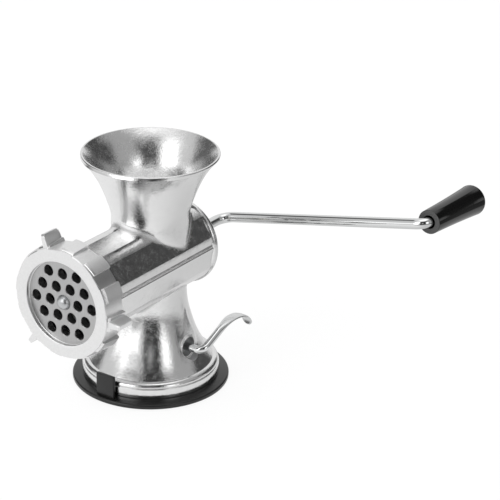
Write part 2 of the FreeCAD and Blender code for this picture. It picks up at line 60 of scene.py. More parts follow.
hopper_inner = np.array([(20.5, 111.0), (21.2, 116.0), (22.8, 121.0), (24.7, 127.0), (26.7, 133.0),
                         (28.9, 139.0), (32.3, 145.0), (36.5, 150.6), (39.7, 154.2), (43.1, 157.5)])
pedestal_outer = np.array([(40.8, 14.5), (37.6, 18.9), (34.5, 24.0), (31.4, 30.0), (28.4, 38.0), (26.0, 46.0),
                           (24.4, 53.0), (23.6, 60.0), (23.3, 76.0)])
pedestal_inner = np.array([(35.0, 17.5), (31.3, 24.0), (28.2, 30.0), (25.2, 38.0), (22.7, 46.0),
                           (20.4, 54.0)])
cavity_top = 55.5
keel_foot = 97.0
keel_top = 111.0
keel_pinch = 9.0
keel_shift = 2.2
keel_round = 2.0
front_blend = 5.0
rear_blend = 3.5
side_blend = 0.5


def natural_spline(points):
    """Radius by height: cubics between the points, with the same slope and bend where they meet."""
    values, knots = points.T
    step = np.diff(knots)
    inner = np.arange(1, len(knots) - 1)
    system = np.eye(len(knots))
    system[inner, inner - 1] = step[:-1]
    system[inner, inner] = 2 * (step[:-1] + step[1:])
    system[inner, inner + 1] = step[1:]
    change = np.diff(values) / step
    target = np.zeros(len(knots))
    target[inner] = 6 * np.diff(change)
    bend = np.linalg.solve(system, target)

    def radius_at(height):
        height = np.clip(height, knots[0], knots[-1])
        k = np.clip(np.searchsorted(knots, height) - 1, 0, len(step) - 1)
        above = (height - knots[k]) / step[k]
        below = 1 - above
        cubic = (below ** 3 - below) * bend[k] + (above ** 3 - above) * bend[k + 1]
        return below * values[k] + above * values[k + 1] + cubic * step[k] ** 2 / 6

    return radius_at


neck_radius = natural_spline(hopper_outer)
funnel_radius = natural_spline(hopper_inner)
skirt_radius = natural_spline(pedestal_outer)
cavity_radius = natural_spline(pedestal_inner)


def smooth_min(a, b, blend):
    """The lesser of two fields, rounded by a parabola where they differ by less than blend."""
    return np.minimum(a, b) - np.maximum(blend - np.abs(a - b), 0.0) ** 2 / (4 * blend)


def barrel_section(turn):
    """Barrel radius at an angle in degrees: chords of 30 degrees, rounded into the arcs between them, and a
    small ledge on both sides, where the two halves of the mould met."""
    away = np.abs((turn - first_flat + flat_pitch / 2) % flat_pitch - flat_pitch / 2)
    chord = barrel_radius * math.cos(math.radians(flat_angle / 2)) / np.cos(np.radians(away))
    skin = smooth_min(chord, barrel_radius, flat_edge_round)
    for seam in seam_turns:
        above = (turn - seam) * math.copysign(1.0, 90.0 - seam)
        skin = skin - np.interp(above, seam_places, seam_depths)
    return skin


def barrel_gap(p):
    """How far points lie outside the barrel's skin."""
    x, z = p[..., 0], p[..., 2] - barrel_height
    return np.hypot(x, z) - barrel_section(np.degrees(np.arctan2(z, x)))


def neck_gap(p):
    """How far points lie outside the neck: round above, and pinched towards the barrel into a blunt keel on
    each flank, a little behind the middle."""
    x, y, z = p[..., 0], p[..., 1], p[..., 2]
    fade = (1 - np.clip((z - keel_foot) / (keel_top - keel_foot), 0, 1)) ** 2
    pinch = keel_pinch * fade
    aside = np.hypot(y - keel_shift * fade, keel_round) - keel_round
    return np.hypot(x, aside + pinch) - np.hypot(neck_radius(z), pinch)


def rise_between(value, low, high):
    """From 0 at low to 1 at high, level at both ends."""
    share = np.clip((value - low) / (high - low), 0, 1)
    return share * share * (3 - 2 * share)


def blend_at(x, y):
    """Width of the blend where an upright joins the barrel: wide at front and rear, tight at the sides."""
    lengthwise = rise_between(np.abs(y) / np.maximum(np.hypot(x, y), 0.001), 0.5, 1.0)
    return side_blend + (np.where(y < 0, front_blend, rear_blend) - side_blend) * lengthwise


def upright_gap(p):
    """How far points lie outside the neck, or below the barrel's axis outside the pedestal."""
    x, y, z = p[..., 0], p[..., 1], p[..., 2]
    return np.where(z > barrel_height, neck_gap(p), np.hypot(x, y) - skirt_radius(z))


def skin_gap(p):
    """Gap to the barrel joined to the neck above and the pedestal below."""
    return smooth_min(barrel_gap(p), upright_gap(p), blend_at(p[..., 0], p[..., 1]))


def settle(p, gap, steps=8, nudge=1e-4):
    """Newton steps along the gap's gradient, which is taken by central differences."""
    for step in range(steps):
        slope = np.stack([(gap(p + e) - gap(p - e)) / (2 * nudge) for e in nudge * np.eye(3)], axis=-1)
        p = p - slope * (gap(p) / (slope ** 2).sum(-1))[..., None]
    return p


def round_upright(radius, height, turn):
    """Points around the vertical axis, at angles in radians from +X."""
    return np.stack(np.broadcast_arrays(radius * np.cos(turn), radius * np.sin(turn), height), axis=-1)


def round_barrel(radius, along, turn):
    """Points around the barrel's axis, at angles in radians from +X towards up."""
    return np.stack(np.broadcast_arrays(radius * np.cos(turn), along, barrel_height + radius * np.sin(turn)),
                    axis=-1)


def sheet_of(points):
    """A grid of points with its faces, whose last column joins its first."""
    rows, columns = points.shape[:2]
    row = np.arange(rows - 1)[:, None] * columns
    column = np.arange(columns)
    after = (column + 1) % columns
    corners = [row + column, row + after, row + columns + after, row + columns + column]
    return points.reshape(-1, 3), np.stack(corners, axis=-1).reshape(-1, 4)


def arc_through(a, b, c, count):
    """Places on the circle through three (radius, height) points, from a to c by way of b."""
    a, b, c = (complex(*point) for point in (a, b, c))
    w = (c - a) / (b - a)
    centre = (b - a) * (w - abs(w) ** 2) / (2j * w.imag) + a
    start, middle, end = (np.angle((point - centre) / (a - centre)) for point in (a, b, c))
    turn = end if (middle > 0) == (end > 0) else end - math.copysign(2 * math.pi, end)
    places = centre + (a - centre) * np.exp(1j * np.linspace(start, turn, count))
    return list(zip(places.real, places.imag))


def in_ring(ring, places):
    """Whether places lie inside a ring: a line from each to the right crosses it an odd number of times."""
    after = np.roll(ring, -1, axis=0)
    u, v = places[:, 0:1], places[:, 1:2]
    crosses = (ring[:, 1] > v) != (after[:, 1] > v)
    rise = np.where(after[:, 1] == ring[:, 1], 1.0, after[:, 1] - ring[:, 1])
    meets = ring[:, 0] + (v - ring[:, 1]) * (after[:, 0] - ring[:, 0]) / rise
    return (crosses & (u < meets)).sum(axis=1) % 2 == 1


def swollen(ring, distance):
    """A ring moved outwards along its normals."""
    along = np.roll(ring, -1, axis=0) - np.roll(ring, 1, axis=0)
    normal = np.stack([along[:, 1], -along[:, 0]], axis=1)
    normal /= np.linalg.norm(normal, axis=1)[:, None]
    outward = np.sign((normal * (ring - ring.mean(axis=0))).sum())
    return ring + normal * outward * np.reshape(distance, (-1, 1))


def pierced(places, rings):
    """Delaunay triangles over flat places, open inside each ring of edges."""
    ends = np.cumsum([len(places)] + [len(ring) for ring in rings])
    edges = np.concatenate([np.stack([np.arange(a, b), np.roll(np.arange(a, b), -1)], axis=1)
                            for a, b in zip(ends, ends[1:])])
    corners = [Vector(place) for place in np.concatenate([places] + list(rings)).tolist()]
    made = delaunay_2d_cdt(corners, edges.tolist(), [], 0, 1e-5)
    found = np.array([tuple(place) for place in made[0]])
    faces = np.array(made[2])
    middles = found[faces].mean(axis=1)
    outside = ~np.any([in_ring(ring, middles) for ring in rings], axis=0)
    return found, faces[outside]


def make_piece(name, patches, material, crisp=40.0):
    """One object from patches of points in millimetres and faces: doubles merged, faces outwards, and edges
    that turn by more than crisp degrees left sharp."""
    near = 0.005 * mm
    starts = np.cumsum([0] + [len(points) for points, faces in patches])
    points = np.concatenate([points for points, faces in patches]) * mm
    corners = [face for (_, faces), start in zip(patches, starts) for face in (faces + start).tolist()]
    mesh = bpy.data.meshes.new(name)
    mesh.from_pydata(points.tolist(), [], corners)
    shape = bmesh.new()
    shape.from_mesh(mesh)
    bmesh.ops.remove_doubles(shape, verts=shape.verts, dist=near)
    bmesh.ops.dissolve_degenerate(shape, edges=shape.edges, dist=near)
    bmesh.ops.recalc_face_normals(shape, faces=shape.faces)
    shape.to_mesh(mesh)
    shape.free()
    mesh.polygons.foreach_set("use_smooth", np.ones(len(mesh.polygons), dtype=bool))
    mesh.set_sharp_from_angle(angle=math.radians(crisp))
    mesh.materials.append(material)
    made = bpy.data.objects.new(name, mesh)
    bpy.context.scene.collection.objects.link(made)
    return made


def linear(code):
    """sRGB hex code to the linear colour that a shader takes."""
    parts = [int(code[i:i + 2], 16) / 255 for i in (1, 3, 5)]
    return tuple(c / 12.92 if c <= 0.04045 else ((c + 0.055) / 1.055) ** 2.4 for c in parts) + (1.0,)


def feed(tree, node, values):
    """Gives sockets of a node a number, a colour or another node's output."""
    for socket, value in dict(values).items():
        if isinstance(value, bpy.types.NodeSocket):
            tree.links.new(value, node.inputs[socket])
        else:
            node.inputs[socket].default_value = value


def add_node(tree, kind, values=(), **settings):
    """A shader node with its settings and the values of its sockets."""
    made = tree.nodes.new("ShaderNode" + kind)
    for setting, value in settings.items():
        setattr(made, setting, value)
    feed(tree, made, values)
    return made


def new_material(name):
    """A material with its node tree, its Principled shader and the place of each point on its piece."""
    made = bpy.data.materials.new(name)
    made.use_nodes = True
    tree = made.node_tree
    return made, tree, tree.nodes["Principled BSDF"], add_node(tree, "TexCoord").outputs["Object"]


def noise_of(size):
    """Noise scale whose blotches are about this many millimetres wide."""
    return 1.0 / (size * mm)


# Polished cast aluminium: a mirror with a soft, patchy haze. The mop leaves it slightly wavy, and what it
# doesn't reach, such as the inner corners, stays dull. The pores are drawn larger than life, so as to show.
polished, tree, shader, place = new_material("polished_cast_aluminium")
waves = add_node(tree, "TexNoise", {"Vector": place, "Scale": noise_of(9.0), "Detail": 2.0})
pores = add_node(tree, "TexNoise", {"Vector": place, "Scale": noise_of(1.6), "Detail": 4.0,
                                    "Roughness": 0.65})
clouds = add_node(tree, "TexNoise", {"Vector": place, "Scale": noise_of(4.0), "Detail": 5.0,
                                     "Roughness": 0.7})
haze = add_node(tree, "MapRange", {"Value": clouds.outputs["Fac"], "From Min": 0.4, "From Max": 0.68,
                                   "To Min": 0.07, "To Max": 0.27})
unmopped = add_node(tree, "Attribute", attribute_name="unpolished")
dull = add_node(tree, "Mix", {"Factor": unmopped.outputs["Fac"], "A": haze.outputs["Result"], "B": 0.5},
                data_type="FLOAT")
wavy = add_node(tree, "Bump", {"Height": waves.outputs["Fac"], "Strength": 0.12, "Distance": 1.0 * mm})
pitted = add_node(tree, "Bump", {"Height": pores.outputs["Fac"], "Strength": 0.45, "Distance": 0.2 * mm,
                                 "Normal": wavy.outputs["Normal"]})
feed(tree, shader, {"Base Color": linear("#e2e2e2"), "Metallic": 1.0, "Roughness": dull.outputs["Result"],
                    "Normal": pitted.outputs["Normal"]})

# Hopper and neck, outside: rings from the crease on the barrel up to the lip, settled on to the blend
columns = 180
around = np.linspace(0.5 * math.pi, 2.5 * math.pi, columns, endpoint=False)


def turned_upright(profile):
    """A profile of (radius, height) points turned about the vertical axis."""
    return sheet_of(np.stack([round_upright(radius, height, around) for radius, height in profile]))


def neck_reach(height):
    """Radius of the neck around it at a height, by steps of its gap."""
    radius = neck_radius(height) + 0 * around
    for step in range(20):
        radius = radius - neck_gap(round_upright(radius, height, around))
    return radius


def crease_height(radius_at, inside, outside):
    """Where an upright skin passes into the barrel, by halving between a height inside it and one outside."""
    inside = np.full(columns, inside)
    outside = np.full(columns, outside)
    for step in range(50):
        middle = (inside + outside) / 2
        free = barrel_gap(round_upright(radius_at(middle), middle, around)) > 0
        inside = np.where(free, inside, middle)
        outside = np.where(free, middle, outside)
    return (inside + outside) / 2


neck_foot = crease_height(neck_reach, 91.0, 125.0)
lip_foot = hopper_outer[-1, 1]
close_rows = 0.16
climb = np.concatenate([np.linspace(0, close_rows, 14)[:-1], np.linspace(close_rows, 1, 34)])[:, None]
neck_heights = neck_foot + climb * (lip_foot - neck_foot)
neck = settle(round_upright(neck_reach(neck_heights), neck_heights, around), skin_gap)
neck[-1] = round_upright(hopper_outer[-1, 0], lip_foot, around)
lip = arc_through((44.5, 156.8), (44.25, 157.3), (43.5, 157.5), 6) + [(43.1, 157.5)]
casting = [sheet_of(neck), turned_upright(lip)]

# Hopper inside, and the throat down to the bore
bore_radius = 22.5
throat_radius = 20.5
funnel_heights = np.linspace(hopper_inner[-1, 1], hopper_inner[0, 1], 34)[:, None]
throat_foot = barrel_height + np.sqrt(bore_radius ** 2 - (throat_radius * np.cos(around)) ** 2)
drop = np.linspace(0, 1, 8)[:, None]
throat_heights = hopper_inner[0, 1] + drop * (throat_foot - hopper_inner[0, 1])
casting += [sheet_of(round_upright(funnel_radius(funnel_heights), funnel_heights, around)),
            sheet_of(round_upright(throat_radius, throat_heights, around))]

# Barrel skin between the head's shoulder and the flange, open where the neck and the pedestal stand on it
barrel_front = -75.6
flange_middle = 33.0
rim_round = 3.0
rim_centre = 26.3
within_flat = np.array([0.0, 4.0, 8.0, 12.0, 14.0, 14.7, 14.9, 15.0, 15.1, 15.3, 16.2, 18.0, 20.0])
flat_columns = np.concatenate([-within_flat[:0:-1], within_flat, [flat_pitch / 2]])
seam_columns = np.array([-1.2, -0.7, -0.6, -0.5, 0.0, 0.35, 0.6, 0.7, 0.8, 1.6, 3.2, 4.5, 4.7, 4.8, 4.9,
                         5.4, 7.0, 10.0])
turns = (first_flat + flat_pitch * np.arange(8)[:, None] + flat_columns + 180.0) % 360.0 - 180.0
turns = np.concatenate([turns.ravel(), seam_turns[0] + seam_columns, seam_turns[1] - seam_columns,
                        [-180.0, 180.0]])
turns = np.unique(np.round(turns, 3))
barrel_turns = np.radians(turns)
full_length = 100.0
collar_shares = (0.22, 0.5, 0.85, 1.2)
collar_room = 0.7
collar_end = 99.0


def barrel_end(turn):
    """Where the barrel's skin meets the round rim of the flange."""
    return flange_middle - np.sqrt(rim_round ** 2 - (barrel_section(np.degrees(turn)) - rim_centre) ** 2)


def barrel_place(flat):
    """Points of the barrel's skin from flat places: arc length around it, and the share of its length."""
    turn = flat[:, 0] / barrel_radius
    along = barrel_front + flat[:, 1] / full_length * (barrel_end(turn) - barrel_front)
    return round_barrel(barrel_section(np.degrees(turn)), along, turn)


def barrel_flat(points):
    """Flat places of points on the barrel's skin."""
    turn = np.arctan2(points[:, 2] - barrel_height, points[:, 0])
    share = (points[:, 1] - barrel_front) / (barrel_end(turn) - barrel_front)
    return np.stack([turn * barrel_radius, share * full_length], axis=1)


def net(u, v):
    """Flat places at all crossings of two sets of lines."""
    return np.stack(np.meshgrid(u, v), axis=-1).reshape(-1, 2)


skirt_head = crease_height(skirt_radius, 84.0, 50.0)
neck_ring = round_upright(neck_reach(neck_foot), neck_foot, around)
skirt_ring = round_upright(skirt_radius(skirt_head), skirt_head, around)
blend_here = blend_at(np.cos(around), np.sin(around))
rings = [barrel_flat(neck_ring), barrel_flat(skirt_ring)]
shares = np.linspace(0, full_length, 40)
field = net(barrel_turns * barrel_radius, shares)
collars = np.concatenate([swollen(ring, blend_here * share) for ring in rings for share in collar_shares])
crowded = np.any([in_ring(swollen(ring, blend_here * collar_shares[-1] + collar_room), field)
                  for ring in rings], axis=0)
last_row = field[:, 1] == shares[-1]
in_reach = collars[:, 1] < collar_end
flat, faces = pierced(np.concatenate([field[last_row | ~crowded], collars[in_reach]]), rings)
casting.append((settle(barrel_place(flat), skin_gap), faces))

# Head with its thread of 3 mm pitch, then the counterbore for the plate and the step down to the bore
head_turn = barrel_turns[:-1]
head_radius = 33.9
head_edge = 33.3
head_shoulder = -77.2
head_end = -85.5
counterbore = 31.15
counterbore_floor = -78.4
thread_pitch = 3.0
thread_depth = 0.7


def turned_barrel(profile, turn):
    """Rows of points from (radius, distance along) pairs turned about the barrel's axis."""
    return np.stack([round_barrel(radius, along, turn) for radius, along in profile])


def thread_share(along, turn):
    """How far in a screw thread stands, from 0 to 1: a triangle wave on its helix, cut flat at both ends."""
    helix = (along / thread_pitch - turn / (2 * math.pi)) % 1.0
    return np.clip(2.4 * np.abs(2 * helix - 1) - 0.7, 0.0, 1.0)


thread_rows = np.linspace(-77.4, -84.9, 40)[:, None]
thread_skin = head_radius - thread_depth * thread_share(thread_rows, head_turn)
thread = round_barrel(thread_skin, thread_rows, head_turn)
barrel_edge = barrel_section(np.degrees(head_turn))
front = turned_barrel([(barrel_edge, barrel_front), (head_edge, head_shoulder)], head_turn)
nose = turned_barrel([(head_edge, head_end), (counterbore, head_end), (counterbore, counterbore_floor),
                      (bore_radius, counterbore_floor)], head_turn)
casting.append(sheet_of(np.concatenate([front, thread, nose])))

# Flange with its round rim, the seat of the bush and the rear wall of the bore
flange_face = 36.0
bush_seat = 10.2
bore_end = 24.0
rim_start = np.arctan2(barrel_end(head_turn) - flange_middle, barrel_edge - rim_centre)
sweep = np.linspace(0, 1, 16)[:, None]
swing = rim_start + sweep * (math.pi / 2 - rim_start)
rim = round_barrel(rim_centre + rim_round * np.cos(swing), flange_middle + rim_round * np.sin(swing),
                   head_turn)
rear_wall = turned_barrel([(20.0, flange_face), (bush_seat, flange_face), (bush_seat, bore_end),
                           (bore_radius, bore_end)], head_turn)
casting.append(sheet_of(np.concatenate([rim, rear_wall])))

# Bore, open to the throat
throat_room = 0.8
throat_ring = round_upright(throat_radius, throat_foot, around)
throat_turn = np.arctan2(throat_ring[:, 2] - barrel_height, throat_ring[:, 0])
throat_flat = np.stack([throat_turn * bore_radius, throat_ring[:, 1]], axis=1)
field = net(barrel_turns * bore_radius, np.linspace(counterbore_floor, bore_end, 30))
flat, faces = pierced(field[~in_ring(swollen(throat_flat, throat_room), field)], [throat_flat])
casting.append((round_barrel(bore_radius, flat[:, 1], flat[:, 0] / bore_radius), faces))

# Pedestal skirt with the two bosses of the lever shaft, low and round, which run up into tapering fins
shaft_height = 28.8
boss_radius = 8.4
boss_face = 30.9
boss_reach = 14.0
boss_low = 16.9
boss_high = 54.9
boss_side = 1.9
boss_blend = 0.4
boss_crown = 60.0
spotface_radius = 7.7
shaft_bore_radius = 6.5
toe = pedestal_outer[0, 1]
skirt_unroll = 30.0
full_height = 50.0
skirt_turns = np.append(around, around[0] + 2 * math.pi)
boss_ridge = natural_spline(np.array([
    (31.4, 16.0), (31.4, 28.0), (30.95, 31.0), (30.1, 34.0), (28.85, 38.0), (27.55, 42.0), (26.3, 46.0),
    (25.1, 50.0), (24.2, 52.5), (23.2, 55.0), (19.0, 65.0)]))
boss_half = natural_spline(np.array([
    (8.4, 16.0), (8.4, 28.8), (8.2, 32.0), (7.4, 35.5), (5.6, 38.5), (3.0, 43.0), (1.9, 47.0), (1.2, 52.0),
    (1.0, 55.0)]))
boss_lean = natural_spline(np.array([
    (0.0, 16.0), (0.0, 26.0), (1.2, 32.0), (3.2, 38.5), (4.3, 43.5), (4.6, 55.0)]))


def skirt_top(turn):
    """Height at which the skirt passes into the barrel, at an angle in radians."""
    return np.interp(turn, skirt_turns, np.append(skirt_head, skirt_head[0]))


def skirt_place(flat):
    """Points of the skirt from flat places: arc length at a 30 mm radius, and the share of its height. A boss
    pushes them out to its slightly crowned ridge, in full along its middle, which leans to the rear as it
    rises, and less over its sides."""
    turn = flat[:, 0] / skirt_unroll
    height = toe + flat[:, 1] / full_height * (skirt_top(turn) - toe)
    settled = settle(round_upright(skirt_radius(height), height, turn), skin_gap)
    x, y, z = settled.T
    off = y - boss_lean(z)
    within = 1 - rise_between(np.abs(off), boss_half(z) - boss_side, boss_half(z) + boss_side)
    proud = -smooth_min(np.abs(x) - boss_ridge(z) + off ** 2 / (2 * boss_crown), 0.0, boss_blend)
    settled[:, 0] = x + np.sign(x) * proud * within
    return settled


def side_turn(side, y, radius):
    """Angle in radians of points that lie y across at a radius, on the side at +x or -x."""
    lean = np.arcsin(y / radius)
    return np.where(side > 0, 2 * math.pi + lean, math.pi - lean)


def skirt_flat(side, y, z):
    """Flat places of points given across and up, on the side at +x or -x."""
    turn = side_turn(side, y, skirt_radius(z))
    return np.stack([turn * skirt_unroll, (z - toe) / (skirt_top(turn) - toe) * full_height], axis=1)


spot_turn = np.linspace(0, 2 * math.pi, 96, endpoint=False)
spot_edges = (0.3, 0.7)
spot_room = 0.9


def spot_circle(radius):
    """Places across and up on a circle around the lever shaft."""
    return radius * np.cos(spot_turn), shaft_height + radius * np.sin(spot_turn)


field = net(skirt_turns * skirt_unroll, np.linspace(0, full_height, 40))
fine = net(np.linspace(-13.6, 13.6, 56), np.linspace(17.3, 54.6, 74))
fine = fine[np.hypot(fine[:, 0], fine[:, 1] - shaft_height) > spotface_radius + spot_room]
frame_across = boss_reach * np.array([-1.0, 1.0, 1.0, -1.0])
frame_up = np.array([boss_low, boss_low, boss_high, boss_high])
rings = []
extra = []
clear = np.ones(len(field), dtype=bool)
for side in (1, -1):
    rings.append(skirt_flat(side, *spot_circle(spotface_radius)))
    extra += [skirt_flat(side, *spot_circle(spotface_radius + edge)) for edge in spot_edges]
    extra.append(skirt_flat(side, *fine.T))
    clear &= ~in_ring(skirt_flat(side, frame_across, frame_up), field)
flat, faces = pierced(np.concatenate([field[clear]] + extra), rings)
casting.append((skirt_place(flat), faces))

# Spotfaces, shaft bores and the sleeves that carry them on inside the pedestal
sleeve_end = 19.0
sleeve_room = 0.8
bore_break = 0.3
inner_rings = []


def around_shaft(x, radius):
    """Points on a circle around the lever shaft's axis."""
    return np.stack(np.broadcast_arrays(x, *spot_circle(radius)), axis=1)


for side, ring in zip((1, -1), rings):
    wall = skirt_place(ring)
    spot_floor = around_shaft(side * np.minimum(np.abs(wall[:, 0]), boss_face), spotface_radius)
    bore = [around_shaft(side * out, radius) for radius, out in
            [(shaft_bore_radius + bore_break, boss_face), (shaft_bore_radius, boss_face - bore_break),
             (shaft_bore_radius, sleeve_end), (boss_radius, sleeve_end)]]
    y, z = spot_circle(boss_radius)
    root = np.stack([side * np.sqrt(cavity_radius(z) ** 2 - y ** 2), y, z], axis=1)
    inner_rings.append(np.stack([side_turn(side, y, cavity_radius(z)) * skirt_unroll, z], axis=1))
    casting.append(sheet_of(np.stack([wall, spot_floor] + bore + [root])))

# Foot rim: a rolled bead and a plain band with a groove between them, then the hollow under the pedestal
foot = (arc_through((40.8, 14.5), (43.72, 13.62), (44.6, 11.5), 18)
        + [(44.35, 11.1), (44.15, 10.95), (44.3, 10.85), (44.85, 10.7), (45.05, 10.62), (45.1, 10.45),
           (45.1, 7.3), (45.1, 4.7), (44.9, 4.2), (44.4, 4.0), (41.2, 4.0), (41.2, 8.0), (35.0, 17.5)])
casting.append(turned_upright(foot))
field = net(skirt_turns * skirt_unroll, np.linspace(17.5, 54.0, 24))
clear = ~np.any([in_ring(swollen(ring, sleeve_room), field) for ring in inner_rings], axis=0)
flat, faces = pierced(field[clear], inner_rings)
casting.append((round_upright(cavity_radius(flat[:, 1]), flat[:, 1], flat[:, 0] / skirt_unroll), faces))
casting.append(turned_upright([(20.4, 54.0), (10.0, cavity_top), (0.0, cavity_top)]))

body = make_piece("polished_body", casting, polished)

# How little each point is polished: not at all in the crease between the barrel and an upright, fully past
# the blend. The mop also works less well in the hopper, and hardly at all in the holes of the shaft.
hopper_dullness = 0.25
hole_dullness = 0.8
places = np.empty(3 * len(body.data.vertices))
body.data.vertices.foreach_get("co", places)
places = places.reshape(-1, 3) / mm
blend_reach = 0.7 + 0.8 * blend_at(places[:, 0], places[:, 1])
from_crease = np.abs(barrel_gap(places) - upright_gap(places))
in_corner = 1 - rise_between(from_crease, 0.2 * blend_reach, blend_reach)
in_hopper = ((places[:, 2] > hopper_inner[0, 1])
             & (np.hypot(places[:, 0], places[:, 1]) < funnel_radius(places[:, 2]) + 0.3))
in_hole = ((np.abs(places[:, 0]) > sleeve_end)
           & (np.hypot(places[:, 1], places[:, 2] - shaft_height) < spotface_radius + 0.05))
unpolished = np.maximum(in_corner, hopper_dullness * in_hopper)
unpolished = np.maximum(unpolished, hole_dullness * in_hole)
body.data.attributes.new("unpolished", "FLOAT", "POINT").data.foreach_set("value", unpolished)
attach(body, "housing")
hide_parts("body_casting")

# Key pin and rear bush
# A steel pin in the head keeps the plate from turning. A white nylon bush, turned from bar and pressed into
# the rear wall, carries the shank.


def dress(name, material):
    """Gives a CAD node its finish."""
    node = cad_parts[name]
    node.data.materials.clear()
    node.data.materials.append(material)


# Zinc-plated steel: bright but not a mirror, with a faint blotch in the plating.
zinc, tree, shader, place = new_material("zinc_plated_steel")
blotch = add_node(tree, "TexNoise", {"Vector": place, "Scale": noise_of(3.0), "Detail": 4.0})
tint = add_node(tree, "Mix", {"Factor": blotch.outputs["Fac"], "A": linear("#b4b6b8"),
                              "B": linear("#cacbcc")}, data_type="RGBA")
dull = add_node(tree, "MapRange", {"Value": blotch.outputs["Fac"], "To Min": 0.22, "To Max": 0.4})
feed(tree, shader, {"Metallic": 1.0, "Base Color": tint.outputs["Result"],
                    "Roughness": dull.outputs["Result"]})

# Natural nylon: slightly translucent off-white, a little cloudy.
nylon, tree, shader, place = new_material("natural_nylon")
cloud = add_node(tree, "TexNoise", {"Vector": place, "Scale": noise_of(5.0), "Detail": 3.0})
tint = add_node(tree, "Mix", {"Factor": cloud.outputs["Fac"], "A": linear("#dedbd0"),
                              "B": linear("#ecebe4")}, data_type="RGBA")
feed(tree, shader, {"Base Color": tint.outputs["Result"], "Roughness": 0.45, "Subsurface Weight": 0.1,
                    "Subsurface Radius": (1.0 * mm, 1.0 * mm, 0.9 * mm)})
dress("plate_key_pin", zinc)
dress("rear_bush", nylon)

# Suction cup
# Moulded rubber foot with a flat underside. Its seat takes the rim of the casting, and the tab at the front
# is pulled to let air in.
cup_profile = ([(0.0, 0.0), (20.0, 0.0), (50.6, 0.0)]
               + arc_through((50.6, 0.0), (51.35, 0.25), (51.6, 1.0), 5)[1:]
               + arc_through((51.6, 1.9), (51.3, 2.75), (50.4, 3.15), 7)
               + [(48.0, 3.6), (46.0, 3.93), (45.2, 4.0), (40.8, 4.0), (40.8, 6.8), (37.5, 6.8), (32.0, 3.6),
                  (15.0, 3.6), (0.0, 3.6)])
cup = turned_upright(cup_profile)


def rounded_block(low, high, edge, count=24):
    """A box with round edges: each direction of a sphere starts from the inner box's corner on its side."""
    low, high = np.array(low), np.array(high)
    lean = (np.arange(count) + 0.5) / count * math.pi
    spin = (np.arange(2 * count) + 0.5) / count * math.pi
    lean, spin = np.meshgrid(lean, spin, indexing="ij")
    way = np.stack([np.sin(lean) * np.cos(spin), np.sin(lean) * np.sin(spin), np.cos(lean)], axis=-1)
    points = (low + high) / 2 + np.sign(way) * ((high - low) / 2 - edge) + edge * way
    ends = points[[0, -1]].mean(axis=1, keepdims=True).repeat(2 * count, axis=1)
    return sheet_of(np.concatenate([ends[:1], points, ends[1:]]))


tab = rounded_block((-7.0, -48.8, 2.0), (7.0, -46.2, 18.6), 0.7)

# Black rubber: nearly black with a soft sheen, a faint grey bloom and the fine grain of the mould.
rubber, tree, shader, place = new_material("moulded_black_rubber")
bloom = add_node(tree, "TexNoise", {"Vector": place, "Scale": noise_of(9.0), "Detail": 5.0,
                                    "Roughness": 0.65})
tint = add_node(tree, "Mix", {"Factor": bloom.outputs["Fac"], "A": linear("#0e0e0e"),
                              "B": linear("#1c1c1c")}, data_type="RGBA")
grain = add_node(tree, "TexNoise", {"Vector": place, "Scale": noise_of(0.5), "Detail": 2.0})
rough = add_node(tree, "Bump", {"Height": grain.outputs["Fac"], "Strength": 0.2, "Distance": 0.1 * mm})
feed(tree, shader, {"Base Color": tint.outputs["Result"], "Normal": rough.outputs["Normal"],
                    "Roughness": 0.3})
foot_rubber = make_piece("rubber_foot", [cup, tab], rubber, crisp=50.0)
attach(foot_rubber, "housing")
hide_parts("suction_cup")

# Plunger, yoke and lever shaft
# Inside the pedestal a cam shaft lifts a cast yoke, whose steel disc pulls up the middle of the rubber. The
# shaft is turned from bar and kept by a spring clip on the far side.

# Sand-cast aluminium: pale and grainy, as it left the mould.
cast, tree, shader, place = new_material("sand_cast_aluminium")
sand = add_node(tree, "TexNoise", {"Vector": place, "Scale": noise_of(0.8), "Detail": 4.0,
                                   "Roughness": 0.7})
tint = add_node(tree, "Mix", {"Factor": sand.outputs["Fac"], "A": linear("#9c9c9a"),
                              "B": linear("#c6c6c4")}, data_type="RGBA")
grainy = add_node(tree, "Bump", {"Height": sand.outputs["Fac"], "Strength": 0.4, "Distance": 0.3 * mm})
feed(tree, shader, {"Base Color": tint.outputs["Result"], "Normal": grainy.outputs["Normal"],
                    "Metallic": 1.0, "Roughness": 0.5})
for name in ("plunger_disc", "plunger_nut", "shaft_clip", "lever_shaft"):
    dress(name, zinc)
dress("plunger_yoke", cast)

# Suction lever
# A steel rod bent out of the cam shaft and back along the pedestal. Its end is flattened under a press and
# curled over for the finger, and the whole is chromed.
lever_radius = 2.6
lever_plane = 42.2
lever_rise = math.radians(23.6)
lever_bend = 5.5
lever_run = 18.0
lever_columns = 40
lever_seat = np.array([17.2, 0.0, shaft_height])
lever_corner = np.array([lever_plane, 0.0, shaft_height])
rise = np.array([0.0, math.cos(lever_rise), math.sin(lever_rise)])


def unit(vectors):
    """Vectors made one long."""
    return vectors / np.linalg.norm(vectors, axis=-1, keepdims=True)


def bent_path(corners, bends, count=16):
    """Straight runs between corners, each inner corner replaced by an arc of its bend radius."""
    rows = [corners[:1]]
    for before, corner, after, bend in zip(corners, corners[1:], corners[2:], bends):
        back, ahead = unit(before - corner), unit(after - corner)
        half = math.acos(back @ ahead) / 2
        inward = unit(back + ahead)
        swing = np.linspace(half - math.pi / 2, math.pi / 2 - half, count)[:, None]
        centre = corner + inward * bend / math.sin(half)
        rows.append(centre + bend * (np.sin(swing) * unit(ahead - back) - np.cos(swing) * inward))
    return np.concatenate(rows + [corners[-1:]])


